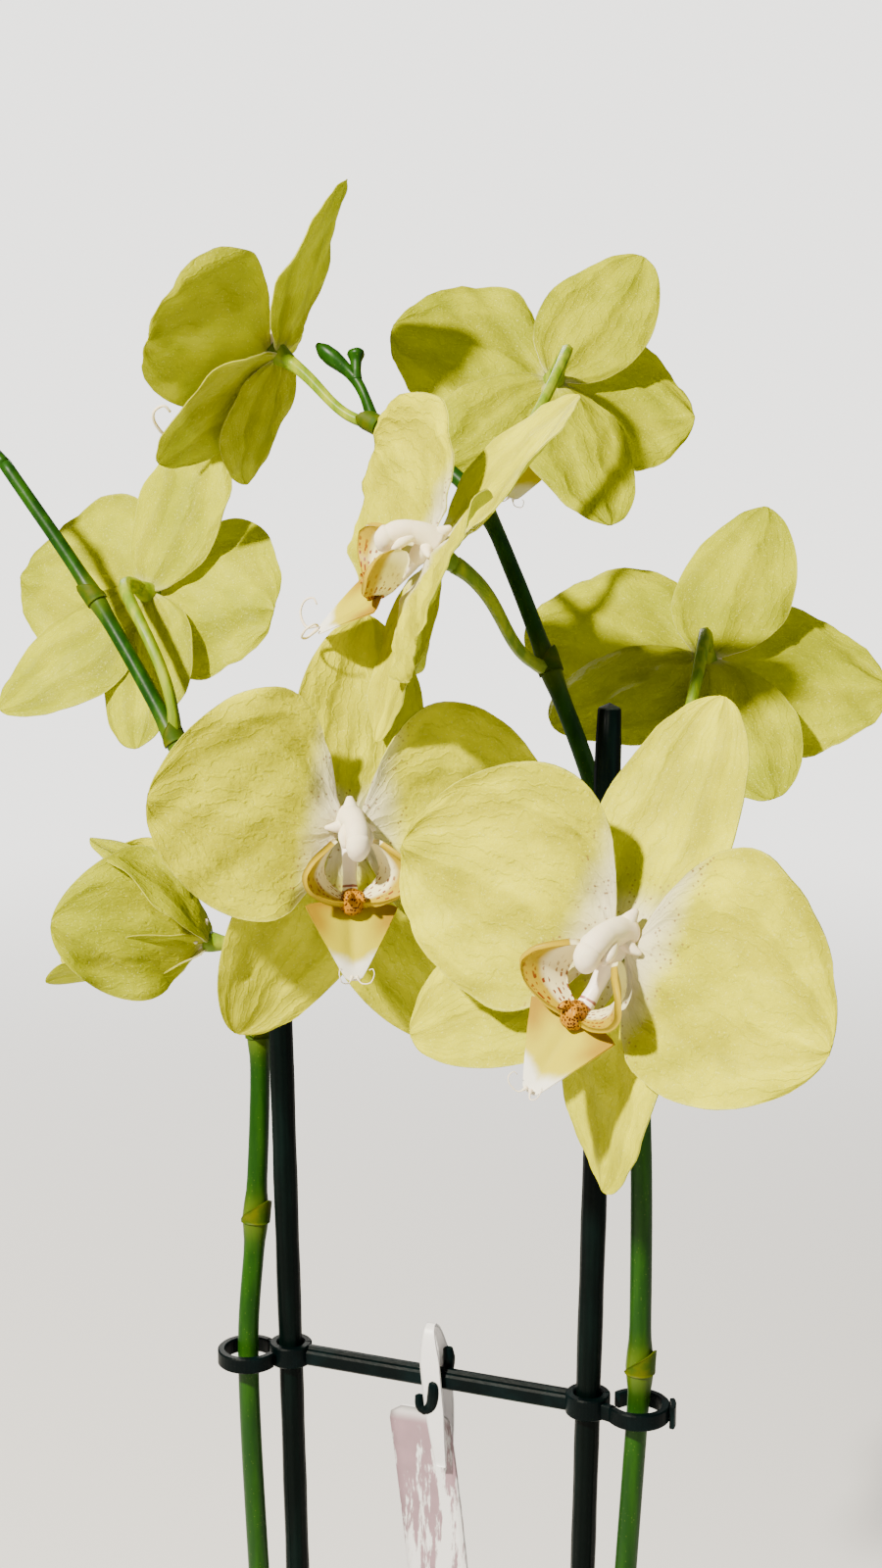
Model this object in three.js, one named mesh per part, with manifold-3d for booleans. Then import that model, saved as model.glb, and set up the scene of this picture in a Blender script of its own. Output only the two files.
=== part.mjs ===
// A potted moth orchid with two staked flower spikes and eight yellow flowers.
// Millimetres, +Z up. The origin is the middle of the pot's underside, and the plant's front faces -Y.
import * as THREE from "three";
import { mergeVertices } from "three/addons/utils/BufferGeometryUtils.js";
import Module from "manifold-3d";

const wasm = await Module();
wasm.setup();

// ---- Driving dimensions ----
const FIT = 0.3; // gap between pieces that touch

const POT_HEIGHT = 118;
const POT_TOP_RADIUS = 66;
const POT_BASE_RADIUS = 50;
const POT_WALL = 4;
const POT_FOLD = 2.5; // rounding of the rim and the foot

const LINER_HEIGHT = 104; // the clear growing pot that stands inside
const LINER_ROOM_TOP = 5; // air between it and the cover pot
const LINER_ROOM_BASE = 3;
const LINER_WALL = 1.2;
const LINER_LIP = 2.4; // how far its rolled rim stands out
const DRAIN_RADIUS = 4;
const DRAIN_RING_RADIUS = 24;
const DRAIN_COUNT = 6;

const ROUND_SIDES = 32;

const BARK_DEPTH = 88; // filling of bark above the liner's floor
const BARK_BUMP = 2.2; // unevenness of its top

const STAKE_RADIUS = 3;
const STAKE_LENGTH = 476;
const STAKE_FOOT_Z = 14;
const STAKE_SPLAY = 1.0; // degrees that each stake leans outward
const STAKE_HALF_SPACING_X = 31; // at the feet
const STAKE_HALF_SPACING_Y = 14;

const CLIP_Z = 323;
const CLIP_HEIGHT = 5.5;
const CLIP_WALL = 2.2;
const CLIP_LOOP_RADIUS = 5.6; // inside of the loop around a spike
const CLIP_BAR_DEPTH = 3.6;
const SPIKE_AT_CLIP = { left: [-47, 13], right: [48, -17] }; // where the clip's loops hold the spikes

const CLIP_PRONG = 2.4; // the hooks in the middle of its bar
const CLIP_PRONG_LENGTH = 8;
const CLIP_PRONG_OFFSET = 4.2;
const CLIP_PRONG_PROUD = 2.7; // how far a prong's middle stands off the bar's middle

const SPIKE_LOWER_RADIUS = 2.7;
const SPIKE_UPPER_RADIUS = 2.1;
const SPIKE_TIP_RADIUS = 1.4;
const PEDICEL_RADIUS = 1.6;
const NODE_SWELL = 1.35; // a spike's joint is this much thicker than the spike

const CROWN_RADIUS = 9;
const CROWN_TOP_SHARE = 0.8; // its top is this much narrower than its foot
const CROWN_OVER_RIM = 11; // its top above the pot's rim
const CROWN_OVER_BARK = 1.2; // its foot above the bark
const CROWN_POCKET = 2; // the bark is cut away this far below the crown's foot

const LEAF_LENGTH = 165;
const LEAF_WIDTH = 66;
const LEAF_THICK = 2.6;
const ROOT_RADIUS = 2.6;

const TAG_WIDTH = 18;
const TAG_LENGTH = 72;
const TAG_THICK = 0.8;
const TAG_STRAP_WIDTH = 4.5;
const TAG_CORNER = 3;
const TAG_SLACK = 0.9; // room between the strap and the clip's bar
const TAG_LOOP_HEIGHT = 38;
const TAG_LOOP_TOP = 13; // above the middle of the clip's bar
const TAG_PLATE_TOP = -15;
const TAG_TURN = -38; // degrees
const TAG_SWING = 7;
const TAG_X = 0.3;

const TAG_OFFSET = 0.3; // share of its width that the plate hangs to the left of the strap

const TEPAL_THICK = 1.0;
const SEPAL_LENGTH = 49;
const SEPAL_WIDTH = 31;
const PETAL_LENGTH = 45;
const PETAL_WIDTH = 52;
const COLUMN_RADIUS = 2.8;
const COLUMN_CAP_RADIUS = 3.3;
const LIP_LENGTH = 18;
const LIP_WIDTH = 20;
const LIP_NECK_RADIUS = 1.4;
const LIP_CREST_RADIUS = 2.4;

// ---- Materials ----
const paint = (color, roughness) => new THREE.MeshStandardMaterial({ color, roughness, metalness: 0 });
const glaze = paint("#e9e6df", 0.25);
const clearPlastic = paint("#dfe6e4", 0.15);
const bark = paint("#6f4a30", 0.9);
const leafSkin = paint("#2f5a22", 0.35);
const spikeSkin = paint("#3f6b1f", 0.45);
const rootSkin = paint("#a7ad92", 0.7);
const stakePlastic = paint("#0f2a1e", 0.4);
const clipPlastic = paint("#0c2426", 0.4);
const tagPlastic = paint("#eeeaea", 0.5);
const petalSkin = paint("#e2d962", 0.6);
const lipSkin = paint("#f0c021", 0.5);
const columnSkin = paint("#f4efe2", 0.5);

// ---- Helpers ----
const rad = THREE.MathUtils.degToRad;
const lerp = THREE.MathUtils.lerp;
const plant = new THREE.Group();

function vec(x, y, z) {
  return new THREE.Vector3(x, y, z);
}

// A closed geometry whose shared corners are merged.
function closed(geometry) {
  const plain = geometry.index ? geometry.clone() : mergeVertices(geometry);
  plain.deleteAttribute("normal");
  plain.deleteAttribute("uv");
  return mergeVertices(plain, 1e-4);
}

function solidOf(geometry) {
  const shape = closed(geometry);
  const vertProperties = new Float32Array(shape.attributes.position.array);
  const triVerts = new Uint32Array(shape.index.array);
  return new wasm.Manifold(new wasm.Mesh({ numProp: 3, vertProperties, triVerts }));
}

function geometryOf(solid) {
  const mesh = solid.getMesh();
  const geometry = new THREE.BufferGeometry();
  geometry.setAttribute("position", new THREE.BufferAttribute(mesh.vertProperties, 3));
  geometry.setIndex(new THREE.BufferAttribute(mesh.triVerts, 1));
  return geometry;
}

function join(geometries) {
  return geometryOf(geometries.map(solidOf).reduce((whole, next) => whole.add(next)));
}

// The main piece that is left of a geometry when the tools are cut from it.
function cut(geometry, tools) {
  const rest = tools.map(solidOf).reduce((whole, tool) => whole.subtract(tool), solidOf(geometry));
  const [main] = rest.decompose().sort((a, b) => b.volume() - a.volume());
  return geometryOf(main);
}

// A named piece in its parent group.
function piece(name, geometry, material, parent = plant) {
  const mesh = new THREE.Mesh(geometry, material);
  mesh.name = name;
  parent.add(mesh);
  return mesh;
}

// A solid turned about Z from its profile of [radius, height] pairs.
function turned(profile, segments) {
  const lathe = new THREE.LatheGeometry(profile.map(([r, z]) => new THREE.Vector2(r, z)), segments);
  return lathe.rotateX(Math.PI / 2);
}

function upright(radius, height, footZ, x, y, segments) {
  const rod = new THREE.CylinderGeometry(radius, radius, height, segments).rotateX(Math.PI / 2);
  return rod.translate(x, y, footZ + height / 2);
}

function ball(radius, centre) {
  return new THREE.SphereGeometry(radius, 7, 4).translate(centre.x, centre.y, centre.z);
}

// A round tube along a curve, with flat ends.
function tube(curve, radius, steps, arcSteps = 3) {
  const section = new THREE.Shape().absarc(0, 0, radius, 0, 2 * Math.PI);
  return new THREE.ExtrudeGeometry(section, {
    steps,
    extrudePath: curve,
    curveSegments: arcSteps,
    bevelEnabled: false,
  });
}

// Half of a blade's width at the share t of its length.
function halfWidth(b, t) {
  const outline = Math.sin(Math.PI * t ** b.widest) ** b.fullness;
  const claw = 1 - b.claw * Math.exp(-t / 0.1);
  return Math.max((b.width / 2) * outline * claw, b.width * 0.03);
}

// A point of a blade's middle sheet: s runs across from -1 to 1, t along from 0 to 1.
// The midrib is an arc in the YZ plane that starts at `lean` and bends back by `arch`;
// the section is an arc too, whose edges rise by `cup`, and it turns by `twist` toward the tip.
function sheetPoint(b, s, t) {
  const arch = rad(b.arch) || 1e-3;
  const lean = rad(b.lean);
  const slope = lean - arch * t;
  const y = (b.length * (Math.sin(lean) - Math.sin(slope))) / arch;
  const z = (b.length * (Math.cos(slope) - Math.cos(lean))) / arch;
  const half = halfWidth(b, t);
  const cup = rad(b.cup) || 1e-3;
  const flat = (half * Math.sin(cup * s)) / cup;
  const rise = (half * (1 - Math.cos(cup * s))) / cup;
  const turn = rad(b.twist) * t;
  const x = flat * Math.cos(turn) - rise * Math.sin(turn);
  const lift = flat * Math.sin(turn) + rise * Math.cos(turn);
  return vec(x + b.bow * Math.sin(Math.PI * t), y - lift * Math.sin(slope), z + lift * Math.cos(slope));
}

// The same blade, larger all round by the clearance that its neighbours keep.
function grown(shape) {
  return { ...shape, length: shape.length + FIT, width: shape.width + 2 * FIT, thick: shape.thick + 2 * FIT };
}

// A leaf-like solid that starts at the origin and runs along +Y with its face toward +Z.
function blade(shape, columns, rows) {
  const b = { widest: 0.8, fullness: 0.7, claw: 0.3, lean: 0, arch: 8, cup: 8, twist: 0, bow: 0, ...shape };
  const box = new THREE.BoxGeometry(2, 1, 1, columns, rows, 1);
  const place = box.attributes.position;
  const step = 0.01;
  const reach = 0.1;
  for (let i = 0; i < place.count; i++) {
    const s = place.getX(i);
    const t = 0.5 - 0.5 * Math.cos(Math.PI * (place.getY(i) + 0.5));
    const at = Math.min(Math.max(t, step), 1 - step);
    const along = sheetPoint(b, s, at + step).sub(sheetPoint(b, s, at - step));
    const rightward = sheetPoint(b, Math.min(s + reach, 1), at);
    const across = rightward.sub(sheetPoint(b, Math.max(s - reach, -1), at));
    const normal = across.cross(along).normalize();
    const point = sheetPoint(b, s, t).addScaledVector(normal, place.getZ(i) * b.thick);
    place.setXYZ(i, point.x, point.y, point.z);
  }
  return box;
}

// ---- Pot, liner and bark ----
const linerFloorZ = POT_WALL + FIT;
const linerTopRadius = POT_TOP_RADIUS - POT_WALL - LINER_ROOM_TOP;
const linerBaseRadius = POT_BASE_RADIUS - POT_WALL - LINER_ROOM_BASE;
const barkFootZ = linerFloorZ + LINER_WALL + FIT;
const barkTopZ = barkFootZ + BARK_DEPTH;
const crownFootZ = barkTopZ + CROWN_OVER_BARK;
const crownTopZ = POT_HEIGHT + CROWN_OVER_RIM;

function coverPot() {
  return turned([
    [0, 0],
    [POT_BASE_RADIUS - POT_FOLD, 0],
    [POT_BASE_RADIUS, POT_FOLD],
    [POT_TOP_RADIUS, POT_HEIGHT - POT_FOLD],
    [POT_TOP_RADIUS - POT_WALL / 2, POT_HEIGHT],
    [POT_TOP_RADIUS - POT_WALL, POT_HEIGHT - POT_FOLD],
    [POT_BASE_RADIUS - POT_WALL, POT_WALL],
    [0, POT_WALL],
  ], ROUND_SIDES);
}

// The radius of the liner's inner face, less the gap that the bark keeps.
function roomInLiner(z) {
  const share = (z - linerFloorZ - LINER_WALL) / (LINER_HEIGHT - LINER_WALL);
  return lerp(linerBaseRadius, linerTopRadius, share) - LINER_WALL - FIT;
}

function growingLiner() {
  const top = linerFloorZ + LINER_HEIGHT;
  const shell = turned([
    [0, linerFloorZ],
    [linerBaseRadius, linerFloorZ],
    [linerTopRadius, top - LINER_LIP],
    [linerTopRadius + LINER_LIP, top - LINER_LIP],
    [linerTopRadius + LINER_LIP, top],
    [linerTopRadius - LINER_WALL, top],
    [linerBaseRadius - LINER_WALL, linerFloorZ + LINER_WALL],
    [0, linerFloorZ + LINER_WALL],
  ], ROUND_SIDES);
  const drains = Array.from({ length: DRAIN_COUNT }, (_, i) => {
    const turn = (i / DRAIN_COUNT) * 2 * Math.PI;
    const x = DRAIN_RING_RADIUS * Math.cos(turn);
    const y = DRAIN_RING_RADIUS * Math.sin(turn);
    return upright(DRAIN_RADIUS, 3 * LINER_WALL, linerFloorZ - LINER_WALL, x, y, 8);
  });
  return cut(shell, drains);
}

// ---- Stakes ----
// side is -1 for the left stake and 1 for the right one, which stands nearer the front.
function stakeFoot(side) {
  return vec(side * STAKE_HALF_SPACING_X, -side * STAKE_HALF_SPACING_Y, STAKE_FOOT_Z);
}

function stakeX(side, z) {
  return side * (STAKE_HALF_SPACING_X + Math.tan(rad(STAKE_SPLAY)) * (z - STAKE_FOOT_Z));
}

function stakeRod(side, radius, segments = 12) {
  const rod = new THREE.CylinderGeometry(radius, radius, STAKE_LENGTH, segments).rotateX(Math.PI / 2);
  const foot = stakeFoot(side);
  rod.translate(0, 0, STAKE_LENGTH / 2).rotateY(side * rad(STAKE_SPLAY));
  return rod.translate(foot.x, foot.y, foot.z);
}

const BUMP_RINGS = [0.62, 0.3, 0]; // shares of the top's radius where the bark is uneven
const BUMP_WAVES = [9, 7]; // across and fore and aft, in mm per radian

function barkBed() {
  const topRadius = roomInLiner(barkTopZ);
  const bed = turned([
    [0, barkFootZ],
    [roomInLiner(barkFootZ), barkFootZ],
    [topRadius, barkTopZ],
    ...BUMP_RINGS.map((share) => [topRadius * share, barkTopZ]),
  ], ROUND_SIDES);
  const place = bed.attributes.position;
  for (let i = 0; i < place.count; i++) {
    const x = place.getX(i);
    const y = place.getY(i);
    const onTop = place.getZ(i) > barkTopZ - FIT && Math.hypot(x, y) < topRadius - FIT;
    const wave = Math.sin(x / BUMP_WAVES[0]) * Math.cos(y / BUMP_WAVES[1]);
    if (onTop) place.setZ(i, barkTopZ + BARK_BUMP * wave);
  }
  const crownHole = upright(CROWN_RADIUS + FIT, BARK_DEPTH, crownFootZ - CROWN_POCKET, 0, 0, 16);
  return cut(bed, [crownHole, stakeRod(-1, STAKE_RADIUS + FIT), stakeRod(1, STAKE_RADIUS + FIT)]);
}

piece("cover_pot", coverPot(), glaze);
piece("nursery_pot", growingLiner(), clearPlastic);
piece("bark_medium", barkBed(), bark);
piece("left_stake", stakeRod(-1, STAKE_RADIUS), stakePlastic);
piece("right_stake", stakeRod(1, STAKE_RADIUS), stakePlastic);

// ---- Crown and leaves ----
const crownTopRadius = CROWN_RADIUS * CROWN_TOP_SHARE;
const crown = new THREE.CylinderGeometry(crownTopRadius, CROWN_RADIUS, crownTopZ - crownFootZ, 12);
crown.rotateX(Math.PI / 2).translate(0, 0, (crownFootZ + crownTopZ) / 2);
piece("crown", crown, spikeSkin);

// Each leaf: compass direction it grows in, height of its foot over the pot's rim, share of full length,
// lean and arch in degrees.
const LEAVES = [
  { heading: -104, foot: -15, size: 1.0, lean: 40, arch: 68 },
  { heading: 78, foot: -11, size: 0.96, lean: 42, arch: 62 },
  { heading: -92, foot: -6, size: 0.86, lean: 56, arch: 58 },
  { heading: 92, foot: -1, size: 0.74, lean: 60, arch: 48 },
  { heading: -110, foot: 4, size: 0.5, lean: 74, arch: 30 },
];

function leaf(index) {
  const { heading, foot, size, lean, arch } = LEAVES[index];
  const shape = blade({
    length: LEAF_LENGTH * size,
    width: LEAF_WIDTH * (0.4 + 0.6 * size),
    thick: LEAF_THICK,
    widest: 0.95,
    fullness: 0.6,
    claw: 0.55,
    lean,
    arch,
    cup: 24,
  }, 4, 8);
  const standOff = CROWN_RADIUS + FIT + LEAF_THICK;
  shape.translate(0, standOff, 0).rotateZ(rad(heading - 90)).translate(0, 0, POT_HEIGHT + foot);
  piece(`leaf_${index + 1}`, shape, leafSkin);
}

LEAVES.forEach((_, index) => leaf(index));

// ---- Aerial roots ----
// Routes from beside the crown, whose heights count from the top of the bark.
const ROOTS = [
  [[-12, -3, 7.2], [-22, -7, 12.2], [-34, -14, 14.2], [-42, -20, 9.2], [-44, -23, 6.7]],
  [[12, 4, 7.2], [20, 9, 13.2], [32, 14, 15.2], [42, 16, 10.2], [45, 16, 6.7]],
  [[-8, 10, 7.2], [-14, 22, 11.2], [-22, 34, 11.2], [-27, 40, 6.7]],
];

function root(index) {
  const start = vec(...ROOTS[index][0]).setZ(0);
  const outward = start.clone().normalize().multiplyScalar(CROWN_RADIUS + ROOT_RADIUS + 2 * FIT).sub(start);
  const points = ROOTS[index].map(([x, y, z]) => vec(x, y, barkTopZ + z));
  points[0].add(outward);
  const curve = new THREE.CatmullRomCurve3(points);
  const tip = ball(ROOT_RADIUS * 1.02, points[points.length - 1]);
  piece(`aerial_root_${index + 1}`, join([tube(curve, ROOT_RADIUS, 8), tip]), rootSkin);
}

ROOTS.forEach((_, index) => root(index));

// ---- Flowers ----
// Each flower: place of its middle, the way it faces (turn to the right and tilt up from the front),
// its roll clockwise as seen from its front, its size, and how single tepals leave the even pose:
// `angle` is a tepal's direction in the flower's plane, counterclockwise from the flower's right.
const FLOWERS = {
  1: {
    at: [-42, 62, 572], turn: -114, tilt: 30, roll: -4, size: 0.97,
    upper: { angle: 92, lean: 8, twist: -17, cup: 6, length: 48 },
    petalLeft: { angle: 180, lean: 25, twist: 12, cup: 20 },
    petalRight: { angle: -14, lean: 22, twist: -10, cup: 20, length: 43 },
    lowerLeft: { angle: 250, lean: -6, length: 42 },
    lowerRight: { angle: 297, lean: 6, twist: -10, cup: -15, length: 47 },
  },
  2: {
    at: [31, 92, 563], turn: 196, tilt: -37, roll: -26, size: 1.0,
    upper: { angle: 104, lean: -3, twist: 11, cup: -6, length: 51 },
    petalLeft: { angle: 168, lean: 5, twist: 6, cup: 14, length: 39 },
    petalRight: { angle: 0, lean: 6, cup: 2, length: 44 },
    lowerLeft: { angle: 240, lean: -2, twist: 5, cup: 8, length: 51 },
    lowerRight: { angle: 300, lean: 0, length: 47 },
  },
  3: {
    at: [-1, -14, 525], turn: -70, tilt: 30, roll: 28, size: 0.95,
    upper: { angle: 102, lean: -4, cup: 20, length: 49 },
    petalLeft: { angle: 181, lean: 24, twist: 24, cup: 18, length: 42 },
    petalRight: { angle: -6, lean: 12, twist: -24, cup: -8, length: 40 },
    lowerLeft: { angle: 236, lean: -24 },
    lowerRight: { angle: 298, lean: -6, length: 46 },
  },
  4: {
    at: [68, 43, 493], turn: 172, tilt: -46, roll: -14, size: 1.0,
    upper: { angle: 93, lean: -2, twist: 8, cup: 10, length: 50 },
    petalLeft: { angle: 168, lean: 14, twist: 5, cup: 18 },
    petalRight: { angle: 1, lean: 4, cup: 6, length: 46 },
    lowerLeft: { angle: 236, lean: 0, cup: 12, length: 49 },
    lowerRight: { angle: 307, lean: -6, cup: 8, length: 47 },
  },
  5: {
    at: [-75, 75, 508], turn: 148, tilt: -24, roll: -8, size: 1.0,
    upper: { angle: 92, lean: 0, cup: 8, length: 50 },
    petalLeft: { angle: 174, lean: 10, twist: 4, cup: 20, length: 42 },
    petalRight: { angle: -3, lean: 4, cup: 4, length: 47 },
    lowerLeft: { angle: 246, lean: 0, twist: -6, cup: 12, length: 45 },
    lowerRight: { angle: 301, lean: -8, twist: -5, cup: 16, length: 50 },
  },
  6: {
    at: [-19, -24, 462], turn: 14, tilt: 9, roll: 4, size: 1.0,
    upper: { angle: 83, lean: -12, cup: 18, length: 52 },
    petalLeft: { angle: 173, lean: 14, cup: 6 },
    petalRight: { angle: 3, lean: 8, cup: 16, length: 47 },
    lowerLeft: { angle: 246, lean: -12, twist: 12, cup: 18, length: 54 },
    lowerRight: { angle: 298, lean: 0, length: 53 },
  },
  7: {
    at: [37, -74, 450], turn: -34, tilt: 14, roll: 18, size: 1.02,
    upper: { angle: 100, lean: -10, cup: 16, length: 54 },
    petalLeft: { angle: 181, lean: 20, twist: 12, cup: 16, length: 48 },
    petalRight: { angle: 2, lean: 4, twist: -6, cup: 10, length: 46 },
    lowerLeft: { angle: 226, lean: 4, twist: -8, cup: 14, length: 54 },
    lowerRight: { angle: 285, lean: -8, twist: -45, length: 50 },
  },
  8: {
    at: [-57, 18, 428], turn: -96, tilt: 6, roll: 0, size: 0.85,
    upper: { lean: 22, arch: -68, cup: 22 },
    petalLeft: { angle: 172, lean: 52, arch: -22, cup: 18, width: 44 },
    petalRight: { angle: 8, lean: 50, arch: -26, cup: 18, width: 44 },
    lowerLeft: { angle: 236, lean: 52, arch: -12, cup: 18, width: 28 },
    lowerRight: { angle: 304, lean: 50, arch: -8, cup: 18, width: 28 },
    lip: { size: 0.6, lift: 24 },
  },
};

const RECEPTACLE_Z = -4; // the knob at the flower's back where the sepals meet
const RECEPTACLE_RADIUS = 2.6;
const SEPAL_Z = -3;
const PETAL_Z = -0.6;
const PETAL_START = 1.6;
const PETAL_BOW = 3; // how far a petal's midrib bends toward the lower sepals
const LIP_Z = 1.4;

// The frame of a flower: X to the right of its face, Y toward its upper sepal, Z out of its face.
function flowerFrame({ at, turn, tilt, roll, size }) {
  const aim = new THREE.Group();
  aim.position.set(...at);
  aim.rotation.set(rad(90 - tilt), 0, rad(turn), "ZXY");
  const face = new THREE.Group();
  face.rotation.z = -rad(roll);
  face.scale.setScalar(size);
  aim.add(face);
  plant.add(aim);
  aim.updateMatrixWorld(true);
  return face;
}

// A tepal that points toward `angle` in the flower's plane, counterclockwise from its right.
function tepal(shape, angle, start, height) {
  return blade(shape, 4, 5).translate(0, start, 0).rotateZ(rad(angle - 90)).translate(0, 0, height);
}

const SEPAL = {
  length: SEPAL_LENGTH, width: SEPAL_WIDTH, thick: TEPAL_THICK,
  widest: 0.85, fullness: 0.7, lean: 3, arch: 8, cup: 10,
};
const PETAL = {
  length: PETAL_LENGTH, width: PETAL_WIDTH, thick: TEPAL_THICK,
  widest: 0.78, fullness: 0.6, claw: 0.8, lean: 8, arch: 10, cup: 6,
};

function sepals(pose, grow = (shape) => shape) {
  const knob = ball(RECEPTACLE_RADIUS, vec(0, 0, RECEPTACLE_Z));
  const parts = [[90, pose.upper], [240, pose.lowerLeft], [300, pose.lowerRight]].map(([angle, change]) =>
    tepal(grow({ ...SEPAL, ...change }), change.angle ?? angle, 0, SEPAL_Z));
  return join([...parts, knob]);
}

function petal(pose, side, grow = (shape) => shape) {
  const change = side < 0 ? pose.petalLeft : pose.petalRight;
  const shape = { ...PETAL, bow: -PETAL_BOW * side, ...change };
  return tepal(grow(shape), change.angle, PETAL_START, PETAL_Z);
}

// The column rises from the flower's middle and bends forward over the lip, which hangs from a neck.
const COLUMN_ROUTE = [[0, 3.5, 1.6], [0, 3.6, 6], [0, 0, 10.6], [0, -5, 12.8]];
const COLUMN_CAP_AT = [0, -6.2, 12.6];
const LIP_NECK_ROUTE = [[0, -5, 1.3], [0, -9.5, 1.6], [0, -15, 3.4]];
const LIP_CREST_AT = [0, -15, 4.6];
const LIP_MIDDLE = {
  length: LIP_LENGTH, width: LIP_WIDTH, thick: 1.3,
  widest: 0.42, fullness: 0.9, claw: 0.1, lean: 25, arch: 5, cup: 14,
};
const LIP_MIDDLE_AT = [0, -14.5, 3.2];
const LIP_WING = {
  length: 17, width: 10, thick: 1.2, widest: 0.8, fullness: 0.7, claw: 0.4, lean: 62, arch: 105, cup: 6,
};
const LIP_WING_AT = [1.2, -15.5, 5.2];
const LIP_WING_NOD = 8; // degrees

function routeOf(points) {
  return new THREE.CatmullRomCurve3(points.map((p) => vec(...p)));
}

function column(grow = 0) {
  const capRadius = COLUMN_CAP_RADIUS + grow;
  const cap = new THREE.SphereGeometry(capRadius, 7, 5).translate(...COLUMN_CAP_AT);
  return join([tube(routeOf(COLUMN_ROUTE), COLUMN_RADIUS + grow, 4), cap]);
}

function lip({ size = 1, lift = 0 } = {}) {
  const crest = new THREE.SphereGeometry(LIP_CREST_RADIUS, 6, 4).translate(...LIP_CREST_AT);
  const middle = blade(LIP_MIDDLE, 4, 4).rotateZ(Math.PI).translate(...LIP_MIDDLE_AT);
  const wings = [-1, 1].map((side) => {
    const wing = blade(LIP_WING, 2, 4).rotateX(rad(LIP_WING_NOD)).rotateY(rad(90 * side));
    return wing.translate(side * LIP_WING_AT[0], LIP_WING_AT[1], LIP_WING_AT[2]);
  });
  const whole = join([tube(routeOf(LIP_NECK_ROUTE), LIP_NECK_RADIUS, 2), crest, middle, ...wings]);
  return whole.rotateX(-rad(lift)).scale(size, size, size).translate(0, 0, LIP_Z);
}

function flower(name, pose) {
  const face = flowerFrame(pose);
  const petals = [petal(pose, -1, grown), petal(pose, 1, grown)];
  piece(`flower_${name}_sepals`, sepals(pose), petalSkin, face);
  piece(`flower_${name}_petal_left`, cut(petal(pose, -1), [sepals(pose, grown)]), petalSkin, face);
  piece(`flower_${name}_petal_right`, cut(petal(pose, 1), [sepals(pose, grown)]), petalSkin, face);
  piece(`flower_${name}_column`, cut(column(), petals), columnSkin, face);
  const lipRoom = [...petals, sepals(pose, grown), column(FIT)];
  piece(`flower_${name}_lip`, cut(lip(pose.lip), lipRoom), lipSkin, face);
  const back = RECEPTACLE_Z - RECEPTACLE_RADIUS - 2 * FIT;
  return {
    back: face.localToWorld(vec(0, 0, back)),
    away: face.localToWorld(vec(0, 0, back - 1)).sub(face.localToWorld(vec(0, 0, back))),
  };
}

const joints = {};
for (const [name, pose] of Object.entries(FLOWERS)) joints[name] = flower(name, pose);

// ---- Flower spikes ----
const SPIKE_ROOM = 0.5;
const SPIKE_FOOT_Z = POT_HEIGHT - 6;

// The place beside the crown, in the direction of (x, y), where a spike sets out.
function besideCrown(x, y) {
  const share = (SPIKE_FOOT_Z - crownFootZ) / (crownTopZ - crownFootZ);
  const reach = lerp(CROWN_RADIUS, crownTopRadius, share) + SPIKE_LOWER_RADIUS + SPIKE_ROOM;
  const place = vec(x, y, 0).setLength(reach).setZ(SPIKE_FOOT_Z);
  return place.toArray();
}

// Route of each spike from the crown upward, and the flowers it bears: the joint each one leaves
// from and the direction its stalk sets out in.
const LEFT_SPIKE = {
  route: [
    besideCrown(-10, 5), [-25, 3, 150], [-36, 3, 184], [-42, 6, 220], [-45, 10, 268],
    [...SPIKE_AT_CLIP.left, CLIP_Z],
    [-45, 17, 357], [-44, 22, 404], [-50, 28, 441], [-66, 40, 475], [-88, 56, 510], [-112, 68, 543],
  ],
  thickTo: 8,
  nodes: [6, 7, 8, 9, 10],
  bears: [
    { flower: "8", node: 8, out: [0.5, -0.6, 0.3] },
    { flower: "6", node: 7, out: [-0.4, -0.9, 0.3] },
    { flower: "5", node: 9, out: [0.15, -0.1, 1] },
  ],
  tips: [[[-112, 68, 543], [-122, 73, 553], [-131, 75, 556]], [[-122, 73, 553], [-124, 74, 561]]],
};

const RIGHT_SPIKE = {
  route: [
    besideCrown(9, -7), [24, -20, 150], [35, -24, 185], [42, -23, 222], [45, -20, 275],
    [...SPIKE_AT_CLIP.right, CLIP_Z],
    [48.3, -17, 333], [48, -15, 385], [46, -10, 425], [41, -4, 455], [35, 0, 475], [27, 7, 496],
    [19, 17, 517], [11, 28, 534], [-1, 38, 545], [-15, 48, 553],
  ],
  thickTo: 10,
  nodes: [6, 8, 11, 13, 15],
  bears: [
    { flower: "7", node: 8, out: [0.3, -0.5, 0.8] },
    { flower: "4", node: 9, out: [0.8, 0.4, 0.4] },
    { flower: "3", node: 11, out: [-0.6, -0.4, 0.2] },
    { flower: "2", node: 13, out: [0.5, 0.5, 0.6] },
    { flower: "1", node: 15, out: [-0.8, 0.3, 0.1] },
  ],
  tips: [[[-15, 48, 553], [-20, 55, 564], [-30, 60, 573]], [[-20, 55, 564], [-20, 58, 572]]],
};

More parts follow.
